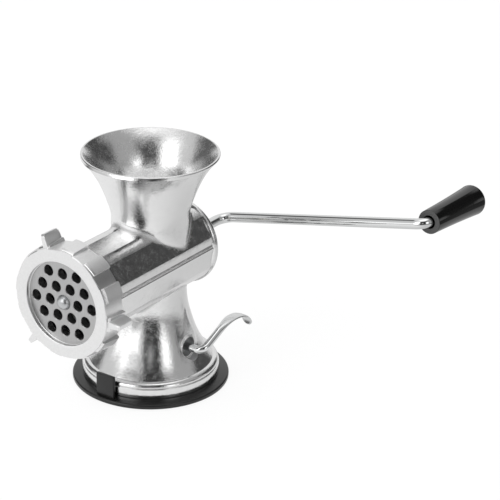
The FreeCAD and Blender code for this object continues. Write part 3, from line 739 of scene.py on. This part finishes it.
blade = np.array([(17.5, 36.45), (21.5, 38.2), (26.3, 39.9), (30.4, 40.6), (34.8, 40.5), (39.2, 39.8),
                  (43.0, 38.5), (46.4, 36.5), (48.9, 34.0), (50.4, 31.0), (51.0, 28.4)])
blade_half_width = np.array([2.6, 2.9, 3.5, 3.9, 4.1, 4.2, 4.2, 4.1, 4.0, 3.9, 3.8])
blade_half_thick = np.array([2.6, 2.0, 1.4, 1.1, 1.0, 1.0, 0.95, 0.9, 0.85, 0.8, 0.75])
blade_rows = 60
tongue = 4.5
blade_reach = np.append(0.0, np.cumsum(np.linalg.norm(np.diff(blade, axis=0), axis=1)))
far = np.linspace(0, blade_reach[-1], blade_rows)
along_y, along_z, wide, thick = (natural_spline(np.stack([values, blade_reach], axis=1))(far)
                                 for values in (*blade.T, blade_half_width, blade_half_thick))
closing = np.sqrt(np.clip(1 - np.maximum(far - blade_reach[-1] + tongue, 0) ** 2 / tongue ** 2, 0, 1))
rod_rows = bent_path(np.stack([lever_seat, lever_corner, lever_corner + rise * lever_run]), [lever_bend])
path = np.concatenate([rod_rows, np.stack([np.full(blade_rows, lever_plane), along_y, along_z], axis=1)])
half_width = np.concatenate([np.full(len(rod_rows), lever_radius), wide * closing])
half_thick = np.concatenate([np.full(len(rod_rows), lever_radius), thick * closing ** 0.5])
ahead = unit(np.gradient(path, axis=0))
sideways = np.array([1.0, 0.0, 0.0])
on_rod = (np.arange(len(path)) < len(rod_rows))[:, None]
thin_way = unit(np.where(on_rod, np.cross(sideways, rise), np.cross(sideways, ahead)))
wide_way = np.cross(thin_way, ahead)
spin = np.linspace(0, 2 * math.pi, lever_columns, endpoint=False)
lever_skin = (path[:, None] + (half_width[:, None] * np.cos(spin))[..., None] * wide_way[:, None]
              + (half_thick[:, None] * np.sin(spin))[..., None] * thin_way[:, None])
lever_skin = np.concatenate([path[:1, None].repeat(lever_columns, axis=1), lever_skin])

# Satin chrome: bright plating on the round of the rod, duller where the press flattened the steel under it.
satin_chrome, tree, shader, place = new_material("satin_chromed_steel")
lever_place = add_node(tree, "SeparateXYZ", {0: place})
pressed = add_node(tree, "MapRange", {"Value": lever_place.outputs["Y"], "From Min": 16.0 * mm,
                                      "From Max": 24.0 * mm, "To Min": 0.05, "To Max": 0.3})
feed(tree, shader, {"Roughness": pressed.outputs["Result"], "Base Color": linear("#dcdddd"),
                    "Metallic": 1.0})
lever = make_piece("chromed_lever", [sheet_of(lever_skin)], satin_chrome, crisp=60.0)
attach(lever, "lever")
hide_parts("suction_lever")

# Feed screw, spindle and knife
# A cast screw feeds the barrel and bears on a nylon washer. A steel spindle in its nose carries the
# four-winged knife on a square and ends in the polished dome that runs in the middle of the plate.
spindle_radius = 4.65
spindle_end = -49.6
square_half = 4.75
square_front = -82.3
square_rear = -73.6

# Tool steel painted dark as shade, with a random mottle, so the holes of the plate, with the knife behind
# them, read as black.
tool, tree, shader, place = new_material("tool_steel_painted_dark")
dark_mottle = add_node(tree, "TexNoise", {"Vector": place, "Scale": noise_of(2.0), "Detail": 3.0})
tint = add_node(tree, "Mix", {"Factor": dark_mottle.outputs["Fac"], "A": linear("#1c1c1c"),
                              "B": linear("#3a3a3a")}, data_type="RGBA")
feed(tree, shader, {"Base Color": tint.outputs["Result"], "Metallic": 0.6, "Roughness": 0.55})
dress("auger", cast)
dress("thrust_washer", nylon)
# The knife's dark colour is painted shade, seen through the holes of the plate.
dress("cross_knife", tool)
dome = arc_through((0.0, -91.2), (3.35, -90.2), (spindle_radius, -87.8), 12)
square_turn = np.sort(np.concatenate([np.linspace(0, 2 * math.pi, 72, endpoint=False),
                                      np.radians([44.0, 46.0, 134.0, 136.0, 224.0, 226.0, 314.0, 316.0])]))
square = square_half / np.maximum(np.abs(np.cos(square_turn)), np.abs(np.sin(square_turn)))
spindle_rows = dome + [(spindle_radius, square_front), (square, square_front), (square, square_rear),
                       (spindle_radius, square_rear), (spindle_radius, spindle_end), (0.0, spindle_end)]
spindle = make_piece("steel_spindle", [sheet_of(turned_barrel(spindle_rows, square_turn))], zinc)
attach(spindle, "crank")
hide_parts("auger_spindle")

# Hole plate
# Hardened steel, drilled on a hexagonal pattern, ground flat on both faces and broken at the edges of the
# holes. A notch at the bottom takes the key pin.
plate_face = -87.8
plate_thick = 5.5
plate_radius = 31.0
plate_tilt = math.radians(2.5)
hole_pitch = 11.0
feed_hole = 3.55
centre_hole = 4.7
hole_edge = 0.35
notch_centre = 31.4
notch_radius = 2.35
sliver_push = 1.0001
steps = np.arange(-2, 3)
column, row = net(steps, steps).T
used = (np.abs(row + column) <= 2) & ((row != 0) | (column != 0))
lattice = (column[used] + row[used] / 2) * hole_pitch - 1j * row[used] * hole_pitch * math.sqrt(3) / 2
lattice = np.append(lattice * np.exp(1j * plate_tilt), 0.0)
hole_radius = np.append(np.full(len(lattice) - 1, feed_hole), centre_hole)
hole_round = np.exp(1j * np.linspace(0, 2 * math.pi, 40, endpoint=False))
rim_turn = np.concatenate([np.arange(-90.0, 270.0, 3.0), np.linspace(-95.0, -85.0, 41)])
rim_turn = np.radians(np.unique(rim_turn))[:-1]
plate_round = np.exp(1j * rim_turn)
from_notch = rim_turn + math.pi / 2
in_notch = (np.abs(np.sin(from_notch)) < notch_radius / notch_centre) & (np.cos(from_notch) > 0)
notch_half = np.sqrt(np.clip(notch_radius ** 2 - (notch_centre * np.sin(from_notch)) ** 2, 0, None))
notch = notch_centre * np.cos(from_notch) - notch_half
rim_out = np.where(in_notch, np.minimum(notch, plate_radius), plate_radius)
broken_edge = [(hole_edge, 0.0), (0.0, hole_edge), (0.0, plate_thick - hole_edge), (hole_edge, plate_thick)]


def plate_point(flat, depth):
    """Points of the plate from flat places across and up, at a depth behind its face."""
    return np.stack(np.broadcast_arrays(flat.real, plate_face + depth, barrel_height + flat.imag), axis=-1)


border = (rim_out - hole_edge) * plate_round
border = np.stack([border.real, border.imag], axis=1)
holes = [spot + (radius + hole_edge) * hole_round for spot, radius in zip(lattice, hole_radius)]
flat, faces = pierced(border, [np.stack([hole.real, hole.imag], axis=1) for hole in holes])
inner = in_ring(border, flat[faces].mean(axis=1) * sliver_push)
plate_patches = [(plate_point(flat[:, 0] + 1j * flat[:, 1], depth), faces[inner])
                 for depth in (0.0, plate_thick)]
for spot, radius in zip(lattice, hole_radius):
    hole_wall = [plate_point(spot + (radius + wider) * hole_round, depth) for wider, depth in broken_edge]
    plate_patches.append(sheet_of(np.stack(hole_wall)))
plate_side = [plate_point((rim_out - less) * plate_round, depth) for less, depth in broken_edge]
plate_patches.append(sheet_of(np.stack(plate_side)))

# Ground steel: satin grey, with straight scratches of the grinding wheel along one direction. They are drawn
# coarser than they are, so as to show.
ground, tree, shader, place = new_material("surface_ground_steel")
drawn_out = add_node(tree, "Mapping", {"Vector": place, "Rotation": (0.0, math.radians(20.0), 0.0),
                                       "Scale": (1.0, 1.0, 0.03)})
scratch = add_node(tree, "TexNoise", {"Vector": drawn_out.outputs["Vector"], "Scale": noise_of(0.35),
                                      "Detail": 3.0})
tint = add_node(tree, "Mix", {"Factor": scratch.outputs["Fac"], "A": linear("#a6a6a6"),
                              "B": linear("#c2c2c2")}, data_type="RGBA")
lined = add_node(tree, "Bump", {"Height": scratch.outputs["Fac"], "Strength": 0.12, "Distance": 0.1 * mm})
feed(tree, shader, {"Base Color": tint.outputs["Result"], "Normal": lined.outputs["Normal"],
                    "Metallic": 1.0, "Roughness": 0.38})
plate = make_piece("ground_plate", plate_patches, ground, crisp=30.0)
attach(plate, "plate")
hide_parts("hole_plate")

# Clamp ring
# Cast aluminium collar that screws on to the barrel's head and holds the plate against it. Its face is
# turned, and its sides, with twelve pads and three lugs for the hand, are as cast and tumbled.
ring_front = -90.8
lug_angles = np.array([109.5, 231.5, 354.0])
lug_middle = 40.0
lug_sides = (1.1, 2.4)
first_pad = 112.6
pad_pitch = 30.0
pad_sides = (7.2, 7.9)
nut_radius = 34.9
nut_floor = 3.0
mouth_radius = 27.3


def ring_side(turn, depth):
    """Outer radius at an angle in degrees and a depth behind the face: the collar, pads whose top slopes out
    from a front chamfer, and lugs whose sides stand nearly square."""
    collar = np.interp(depth, [0.0, 0.5, 15.9, 16.3], [35.5, 36.0, 36.0, 35.7])
    pad = np.interp(depth, [1.55, 1.65, 2.8, 15.7, 16.3], [36.0, 36.4, 37.2, 38.3, 37.7])
    lug = np.interp(depth, [1.1, 1.25, 1.5, 2.4, 13.7, 15.2, 15.4],
                    [36.0, 42.8, 43.8, 44.8, 44.8, 43.2, 36.0])
    off_pad = np.abs((turn - first_pad + pad_pitch / 2) % pad_pitch - pad_pitch / 2)
    on_pad = 1 - rise_between(off_pad, *pad_sides)
    skin = collar + (np.maximum(pad, collar) - collar) * on_pad
    off_lug = np.abs((turn[..., None] - lug_angles + 180.0) % 360.0 - 180.0).min(axis=-1)
    on_lug = 1 - rise_between(lug_middle * np.sin(np.radians(np.minimum(off_lug, 90.0))), *lug_sides)
    return skin + (np.maximum(lug, skin) - skin) * on_lug


pad_steps = np.array([6.6, 7.2, 7.4, 7.55, 7.7, 7.9, 8.5])
lug_steps = np.array([0.6, 1.1, 1.3, 1.5, 1.75, 2.0, 2.2, 2.4, 2.8])
lug_steps = np.degrees(np.arcsin(lug_steps / lug_middle))
pad_places = first_pad + pad_pitch * np.arange(12)
ring_turns = np.concatenate([np.arange(0.0, 360.0, 2.0)]
                            + [(pad_places[:, None] + way * pad_steps).ravel() for way in (1, -1)]
                            + [(lug_angles[:, None] + way * lug_steps).ravel() for way in (1, -1)])
ring_turns = np.unique(np.round(ring_turns % 360.0, 3))
ring_turn = np.radians(ring_turns)
depths = np.array([0.0, 0.25, 0.5, 1.0, 1.1, 1.25, 1.5, 1.6, 1.7, 2.0, 2.4, 2.8, 3.4, 6.0, 9.0, 12.0, 13.0,
                   13.7, 14.4, 15.2, 15.4, 15.7, 15.9, 16.1, 16.3])[:, None]
outside = ring_side(np.broadcast_to(ring_turns, (len(depths), len(ring_turns))), depths)
outside = round_barrel(outside, ring_front + depths, ring_turn)
nut_rows = ring_front + np.linspace(15.6, 4.2, 46)[:, None]
nut_skin = nut_radius - thread_depth * thread_share(nut_rows, ring_turn)
nut_thread = round_barrel(nut_skin, nut_rows, ring_turn)
lip_rows = [(mouth_radius, nut_floor), (mouth_radius, 2.6), (27.55, 2.45), (27.55, 0.6), (27.75, 0.2),
            (28.2, 0.0), (30.0, 0.0), (33.0, 0.0)]
seat_rows = [(nut_radius, 3.6), (nut_radius, nut_floor), (31.0, nut_floor), (mouth_radius, nut_floor)]
lip_skin, seat_skin = (turned_barrel([(radius, ring_front + depth) for radius, depth in rows], ring_turn)
                       for rows in (lip_rows, seat_rows))
ring_skin = np.concatenate([lip_skin, outside, nut_thread, seat_skin])

# Tumbled cast aluminium: bright satin, with the soft speckle of tumbling and a little grain from the mould.
satin, tree, shader, place = new_material("tumbled_cast_aluminium")
speckle = add_node(tree, "TexNoise", {"Vector": place, "Scale": noise_of(1.1), "Detail": 4.0,
                                      "Roughness": 0.65})
tint = add_node(tree, "Mix", {"Factor": speckle.outputs["Fac"], "A": linear("#dedede"),
                              "B": linear("#f0f0f0")}, data_type="RGBA")
dents = add_node(tree, "Bump", {"Height": speckle.outputs["Fac"], "Strength": 0.12, "Distance": 0.25 * mm})
ring_place = add_node(tree, "SeparateXYZ", {0: place})
sheen = add_node(tree, "MapRange", {"Value": ring_place.outputs["Y"], "From Min": (ring_front + 0.05) * mm,
                                    "From Max": (ring_front + 0.5) * mm, "To Min": 0.36, "To Max": 0.32})
feed(tree, shader, {"Base Color": tint.outputs["Result"], "Normal": dents.outputs["Normal"],
                    "Roughness": sheen.outputs["Result"], "Metallic": 1.0})
clamp = make_piece("cast_clamp_ring", [sheet_of(ring_skin)], satin, crisp=28.0)
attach(clamp, "ring")
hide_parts("clamp_ring")

# Crank
# A drawn steel rod bent twice and chromed. Its threaded end is screwed into the shank of the feed screw and
# locked by a nut on a washer.
crank_radius = 160.2
arm_back = 80.5
arm_angle = math.radians(12.9)
droop = math.radians(2.8)
rod_radius = 3.5
rod_start = 14.0
rod_bends = [9.0, 7.0]
rod_columns = 48
grip_start = 4.75
rod_in_grip = 52.3
arm = np.array([math.cos(arm_angle), 0.0, math.sin(arm_angle)])
arm_side = np.array([-math.sin(arm_angle), 0.0, math.cos(arm_angle)])
grip_way = np.array([0.0, math.cos(droop), 0.0]) - arm_side * math.sin(droop)
arm_root = np.array([0.0, arm_back, barrel_height])
grip_corner = arm_root + arm * crank_radius
rod_path = bent_path(np.stack([np.array([0.0, rod_start, barrel_height]), arm_root, grip_corner,
                               grip_corner + grip_way * (grip_start + rod_in_grip)]), rod_bends)
rod_ahead = unit(np.gradient(rod_path, axis=0))
first_way = unit(np.cross(rod_ahead, arm_side))
second_way = np.cross(first_way, rod_ahead)
spin = np.linspace(0, 2 * math.pi, rod_columns, endpoint=False)[:, None]
rod_round = np.cos(spin) * first_way[:, None] + np.sin(spin) * second_way[:, None]
rod_ends = rod_path[[0, -1]][:, None].repeat(rod_columns, axis=1)
rod_skin = np.concatenate([rod_ends[:1], rod_path[:, None] + rod_radius * rod_round, rod_ends[1:]])

# Chrome on steel: a hard, clean mirror, only slightly rippled by the drawn rod under it.
chrome, tree, shader, place = new_material("chromed_steel_rod")
drawn = add_node(tree, "TexNoise", {"Vector": place, "Scale": noise_of(7.0), "Detail": 2.0})
ripple = add_node(tree, "Bump", {"Height": drawn.outputs["Fac"], "Strength": 0.06, "Distance": 0.5 * mm})
wiped = add_node(tree, "MapRange", {"Value": drawn.outputs["Fac"], "To Min": 0.03, "To Max": 0.08})
feed(tree, shader, {"Normal": ripple.outputs["Normal"], "Roughness": wiped.outputs["Result"],
                    "Base Color": linear("#dcdddd"), "Metallic": 1.0})
rod = make_piece("chromed_crank", [sheet_of(rod_skin)], chrome, crisp=60.0)
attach(rod, "crank")
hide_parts("crank_rod")
dress("crank_washer", zinc)
dress("crank_lock_nut", chrome)
dress("grip_push_nut", zinc)

# Grip
# Tapered grip moulded in black plastic, which turns on the end of the rod. A push nut in a pocket holds it,
# and a plug closes the pocket.
grip_length = 54.7
grip_bore = 3.6
grip_mouth = 4.3
mouth_depth = 6.5
pocket_radius = 6.8
pocket_floor = 49.7
plug_seat = 52.9
plug_top = 55.3
taper = [(8.32, 14.0), (8.78, 27.0), (9.4, 40.0), (10.05, 52.0)]
grip_profile = ([(grip_bore, mouth_depth), (grip_mouth, mouth_depth)]
                + arc_through((grip_mouth, 0.3), (4.38, 0.1), (4.6, 0.0), 4)
                + arc_through((7.5, 0.0), (7.8, 0.12), (7.9, 0.4), 5) + taper
                + arc_through((10.18, 53.0), (9.75, 54.2), (8.6, grip_length), 8)
                + [(pocket_radius, grip_length), (pocket_radius, pocket_floor), (grip_bore, pocket_floor),
                   (grip_bore, mouth_depth)])
plug_profile = ([(0.0, plug_seat), (pocket_radius, plug_seat), (pocket_radius, grip_length)]
                + arc_through((6.7, grip_length), (4.0, 55.1), (0.0, plug_top), 8)[:-1] + [(0.0, plug_top)])
grip_turn = np.linspace(0, 2 * math.pi, 96, endpoint=False)[:, None]
grip_across = unit(np.cross(grip_way, arm_side))
grip_up = np.cross(grip_across, grip_way)
grip_seat = grip_corner + grip_way * grip_start


def round_grip(profile):
    """A profile of (radius, distance) turned about the grip's axis."""
    radius, along = np.array(profile).T[..., None, None]
    circle = np.cos(grip_turn) * grip_across + np.sin(grip_turn) * grip_up
    return sheet_of(grip_seat + radius * circle + along * grip_way)


# Black phenolic plastic: deep black with a good moulded gloss and a very slight orange-peel.
plastic, tree, shader, place = new_material("gloss_black_plastic")
peel = add_node(tree, "TexNoise", {"Vector": place, "Scale": noise_of(2.5), "Detail": 2.0})
dimpled = add_node(tree, "Bump", {"Height": peel.outputs["Fac"], "Strength": 0.05, "Distance": 0.2 * mm})
worn = add_node(tree, "MapRange", {"Value": peel.outputs["Fac"], "To Min": 0.04, "To Max": 0.09})
tint = add_node(tree, "Mix", {"Factor": peel.outputs["Fac"], "A": linear("#070707"),
                              "B": linear("#0c0c0c")}, data_type="RGBA")
# The small end face is painted grey, a painted reflection of the bright room on the black plastic, which
# shows as a grey ring around the rod; it is also made duller.
from_end = add_node(tree, "VectorMath", {0: place, 1: grip_way}, operation="DOT_PRODUCT")
end_place = grip_seat @ grip_way * mm
end_sheen = add_node(tree, "MapRange", {"Value": from_end.outputs["Value"], "From Min": end_place + 0.02 * mm,
                                   "From Max": end_place + 0.15 * mm, "To Min": 1.0, "To Max": 0.0})
colour = add_node(tree, "Mix", {"Factor": end_sheen.outputs["Result"], "A": tint.outputs["Result"],
                                "B": linear("#4c4c4c")}, data_type="RGBA")
gloss = add_node(tree, "Mix", {"Factor": end_sheen.outputs["Result"], "A": worn.outputs["Result"], "B": 0.5},
                 data_type="FLOAT")
feed(tree, shader, {"Base Color": colour.outputs["Result"], "Normal": dimpled.outputs["Normal"],
                    "Roughness": gloss.outputs["Result"], "Specular IOR Level": 0.6})
grip = make_piece("moulded_grip", [round_grip(grip_profile)], plastic, crisp=45.0)
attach(grip, "grip")
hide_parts("crank_grip")
cap = make_piece("grip_plug", [round_grip(plug_profile)], plastic, crisp=45.0)
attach(cap, "grip")
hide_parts("grip_end_cap")

# Studio
# A white paper floor and a white dome. Reflections see the softboxes, grey walls and black cards of the
# studio on the dome, which give the polished metal its bands. All else is lit evenly, with one soft lamp from
# the front left.
paper_half = 4.0
paper_drop = 0.2 * mm
paper_ways = ((-1, -1), (1, -1), (1, 1), (-1, 1))
paper_corners = [(x * paper_half, y * paper_half, -paper_drop) for x, y in paper_ways]
floor_mesh = bpy.data.meshes.new("paper_floor")
floor_mesh.from_pydata(paper_corners, [], [(0, 1, 2, 3)])
floor = bpy.data.objects.new("paper_floor", floor_mesh)
bpy.context.scene.collection.objects.link(floor)

# White paper: it shows white to the camera and in reflections, and a share of plain paper keeps the shadow.
paper, tree, shader, place = new_material("white_paper")
feed(tree, shader, {"Base Color": linear("#f4f4f4"), "Roughness": 0.9})
light_path = add_node(tree, "LightPath")
seen = add_node(tree, "Math", {0: light_path.outputs["Is Camera Ray"],
                               1: light_path.outputs["Is Glossy Ray"]}, operation="ADD")
seen = add_node(tree, "Math", {0: seen.outputs[0], 1: light_path.outputs["Is Transmission Ray"]},
                operation="ADD", use_clamp=True)
glow_share = add_node(tree, "Math", {0: seen.outputs[0], 1: 0.8}, operation="MULTIPLY")
# In reflections the paper shows a painted pool of light, brightest towards the lamp, and painted dark on the
# near and far right.
lamp_side = add_node(tree, "VectorMath", {0: place, 1: (-0.42, -0.91, 0.0)}, operation="DOT_PRODUCT")
lit = add_node(tree, "MapRange", {"Value": lamp_side.outputs["Value"], "From Min": -0.2, "From Max": 0.08,
                                  "To Min": 0.7, "To Max": 1.05}, interpolation_type="SMOOTHSTEP")
near_side = add_node(tree, "VectorMath", {0: place, 1: (0.62, -0.79, 0.0)}, operation="DOT_PRODUCT")
near_painted_dark = add_node(tree, "MapRange", {"Value": near_side.outputs["Value"], "From Min": 0.38, "From Max": 0.6,
                                       "To Min": 1.0, "To Max": 0.15}, interpolation_type="SMOOTHSTEP")
far_side = add_node(tree, "VectorMath", {0: place, 1: (0.66, 0.75, 0.0)}, operation="DOT_PRODUCT")
far_painted_dark = add_node(tree, "MapRange", {"Value": far_side.outputs["Value"], "From Min": 0.43, "From Max": 0.49,
                                      "To Min": 1.0, "To Max": 0.06}, interpolation_type="SMOOTHSTEP")
ends = add_node(tree, "Math", {0: far_painted_dark.outputs["Result"], 1: near_painted_dark.outputs["Result"]},
                operation="MULTIPLY")
mirrored = add_node(tree, "Math", {0: lit.outputs["Result"], 1: ends.outputs[0]}, operation="MULTIPLY")
paper_white = add_node(tree, "Mix", {"Factor": light_path.outputs["Is Camera Ray"],
                                     "A": mirrored.outputs[0], "B": 1.08}, data_type="FLOAT")
glow = add_node(tree, "Emission", {"Color": linear("#ffffff"), "Strength": paper_white.outputs["Result"]})
sheet = add_node(tree, "MixShader", {0: glow_share.outputs[0], 1: shader.outputs[0], 2: glow.outputs[0]})
tree.links.new(sheet.outputs[0], tree.nodes["Material Output"].inputs["Surface"])
floor_mesh.materials.append(paper)

world = bpy.data.worlds.new("studio")
bpy.context.scene.world = world
world.use_nodes = True
tree = world.node_tree
way = add_node(tree, "SeparateXYZ", {0: add_node(tree, "TexCoord").outputs["Generated"]})
bearing = add_node(tree, "Math", {0: way.outputs["Y"], 1: way.outputs["X"]}, operation="ARCTAN2")
altitude = add_node(tree, "Math", {0: way.outputs["Z"]}, operation="ARCSINE")
# Each card or softbox: bearing from +X towards +Y and its half width, height and its half height, softness of
# its edge, all in degrees, and how bright it is
cards = {
    "left_wall": (215.0, 25.0, 20.0, 70.0, 20.0, 0.72),
    "right_wall": (30.0, 45.0, 33.0, 38.0, 8.0, 0.42),
    "right_black": (68.0, 27.0, 26.5, 12.5, 3.0, 0.06),
    "far_black": (72.0, 23.0, 2.0, 19.0, 2.5, 0.08),
    "low_window": (45.0, 3.5, 1.0, 10.0, 2.0, 0.8),
    "thin_black": (21.0, 6.0, 7.0, 12.0, 3.0, 0.10),
    "left_black": (178.0, 19.0, 25.0, 24.0, 5.0, 0.12),
    "upper_dark": (313.0, 34.0, 50.0, 10.0, 6.0, 0.10),
    "near_dark": (310.0, 23.0, 27.0, 33.0, 6.0, 0.05),
    "near_window": (306.0, 5.0, 23.0, 10.0, 4.0, 0.5),
    "overhead_softbox": (0.0, 200.0, 84.0, 18.0, 6.0, 1.2),
    "overhead_core": (0.0, 200.0, 90.0, 15.0, 6.0, 1.7),
    "key_softbox": (258.0, 19.0, 28.0, 25.0, 5.0, 2.2),
    "fill_softbox": (343.0, 9.0, 20.0, 14.0, 5.0, 1.7),
    "left_softbox": (228.0, 9.0, 3.0, 13.0, 4.0, 1.6),
}
level = 0.9
for card_bearing, half_bearing, card_height, half_height, soft, brightness in cards.values():
    aside = add_node(tree, "Math", {0: bearing.outputs[0], 1: math.radians(card_bearing)},
                     operation="SUBTRACT")
    aside = add_node(tree, "Math", {0: aside.outputs[0], 1: math.pi, 2: -math.pi}, operation="WRAP")
    aside = add_node(tree, "Math", {0: aside.outputs[0]}, operation="ABSOLUTE")
    above = add_node(tree, "Math", {0: altitude.outputs[0], 1: math.radians(card_height)},
                     operation="SUBTRACT")
    above = add_node(tree, "Math", {0: above.outputs[0]}, operation="ABSOLUTE")
    edges = [add_node(tree, "MapRange", {"Value": value.outputs[0], "From Min": math.radians(half + soft),
                                         "From Max": math.radians(half - soft)},
                      interpolation_type="SMOOTHSTEP")
             for value, half in ((aside, half_bearing), (above, half_height))]
    inside_card = add_node(tree, "Math", {0: edges[0].outputs[0], 1: edges[1].outputs[0]},
                           operation="MULTIPLY")
    level = add_node(tree, "Mix", {"Factor": inside_card.outputs[0], "A": level, "B": brightness},
                     data_type="FLOAT").outputs["Result"]
light_path = add_node(tree, "LightPath")
even = add_node(tree, "Mix", {"Factor": light_path.outputs["Is Camera Ray"], "A": 0.75, "B": 1.0},
                data_type="FLOAT")
shiny = add_node(tree, "Math", {0: light_path.outputs["Is Glossy Ray"],
                                1: light_path.outputs["Is Transmission Ray"]},
                 operation="ADD", use_clamp=True)
strength = add_node(tree, "Mix", {"Factor": shiny.outputs[0], "A": even.outputs["Result"], "B": level},
                    data_type="FLOAT")
feed(tree, tree.nodes["Background"], {"Strength": strength.outputs["Result"], "Color": linear("#ffffff")})

lamp = bpy.data.lights.new("key_lamp", "AREA")
lamp.energy = 6.0
lamp.size = 0.9
lamp_place = Vector((-0.35, -1.2, 1.3))
lamp_way = Vector((0.35, 1.2, -1.2))
key = bpy.data.objects.new("key_lamp", lamp)
bpy.context.scene.collection.objects.link(key)
key.matrix_world = Matrix.Translation(lamp_place) @ lamp_way.to_track_quat("-Z", "Y").to_matrix().to_4x4()
key.visible_glossy = False

# Camera
# A long lens from above the right of the barrel's front, slightly rolled, as the photograph was taken.
camera_data = bpy.data.cameras.new("camera")
camera_data.sensor_width = 36.0
camera_data.lens = 154.39
camera_data.clip_end = 20.0
camera = bpy.data.objects.new("camera", camera_data)
bpy.context.scene.collection.objects.link(camera)
azimuth = math.radians(37.603)
elevation = math.radians(24.538)
roll = 0.0190
eye_distance = 1390.997
aim_side = 64.260
aim_rise = 9.208
pivot = Vector((0.0, 0.0, 80.0))
eye = pivot + eye_distance * Vector((math.sin(azimuth) * math.cos(elevation),
                                     -math.cos(azimuth) * math.cos(elevation), math.sin(elevation)))
aim = pivot + Vector((aim_side * math.cos(azimuth), aim_side * math.sin(azimuth), aim_rise))
back = (eye - aim).normalized()
right = Vector((0.0, 0.0, 1.0)).cross(back).normalized()
upward = back.cross(right)
rolled_right = right * math.cos(roll) + upward * math.sin(roll)
rolled_up = upward * math.cos(roll) - right * math.sin(roll)
camera.matrix_world = (Matrix.Translation(eye * mm)
                       @ Matrix((rolled_right, rolled_up, back)).transposed().to_4x4())
bpy.context.scene.camera = camera
bpy.context.scene.view_settings.view_transform = "Standard"
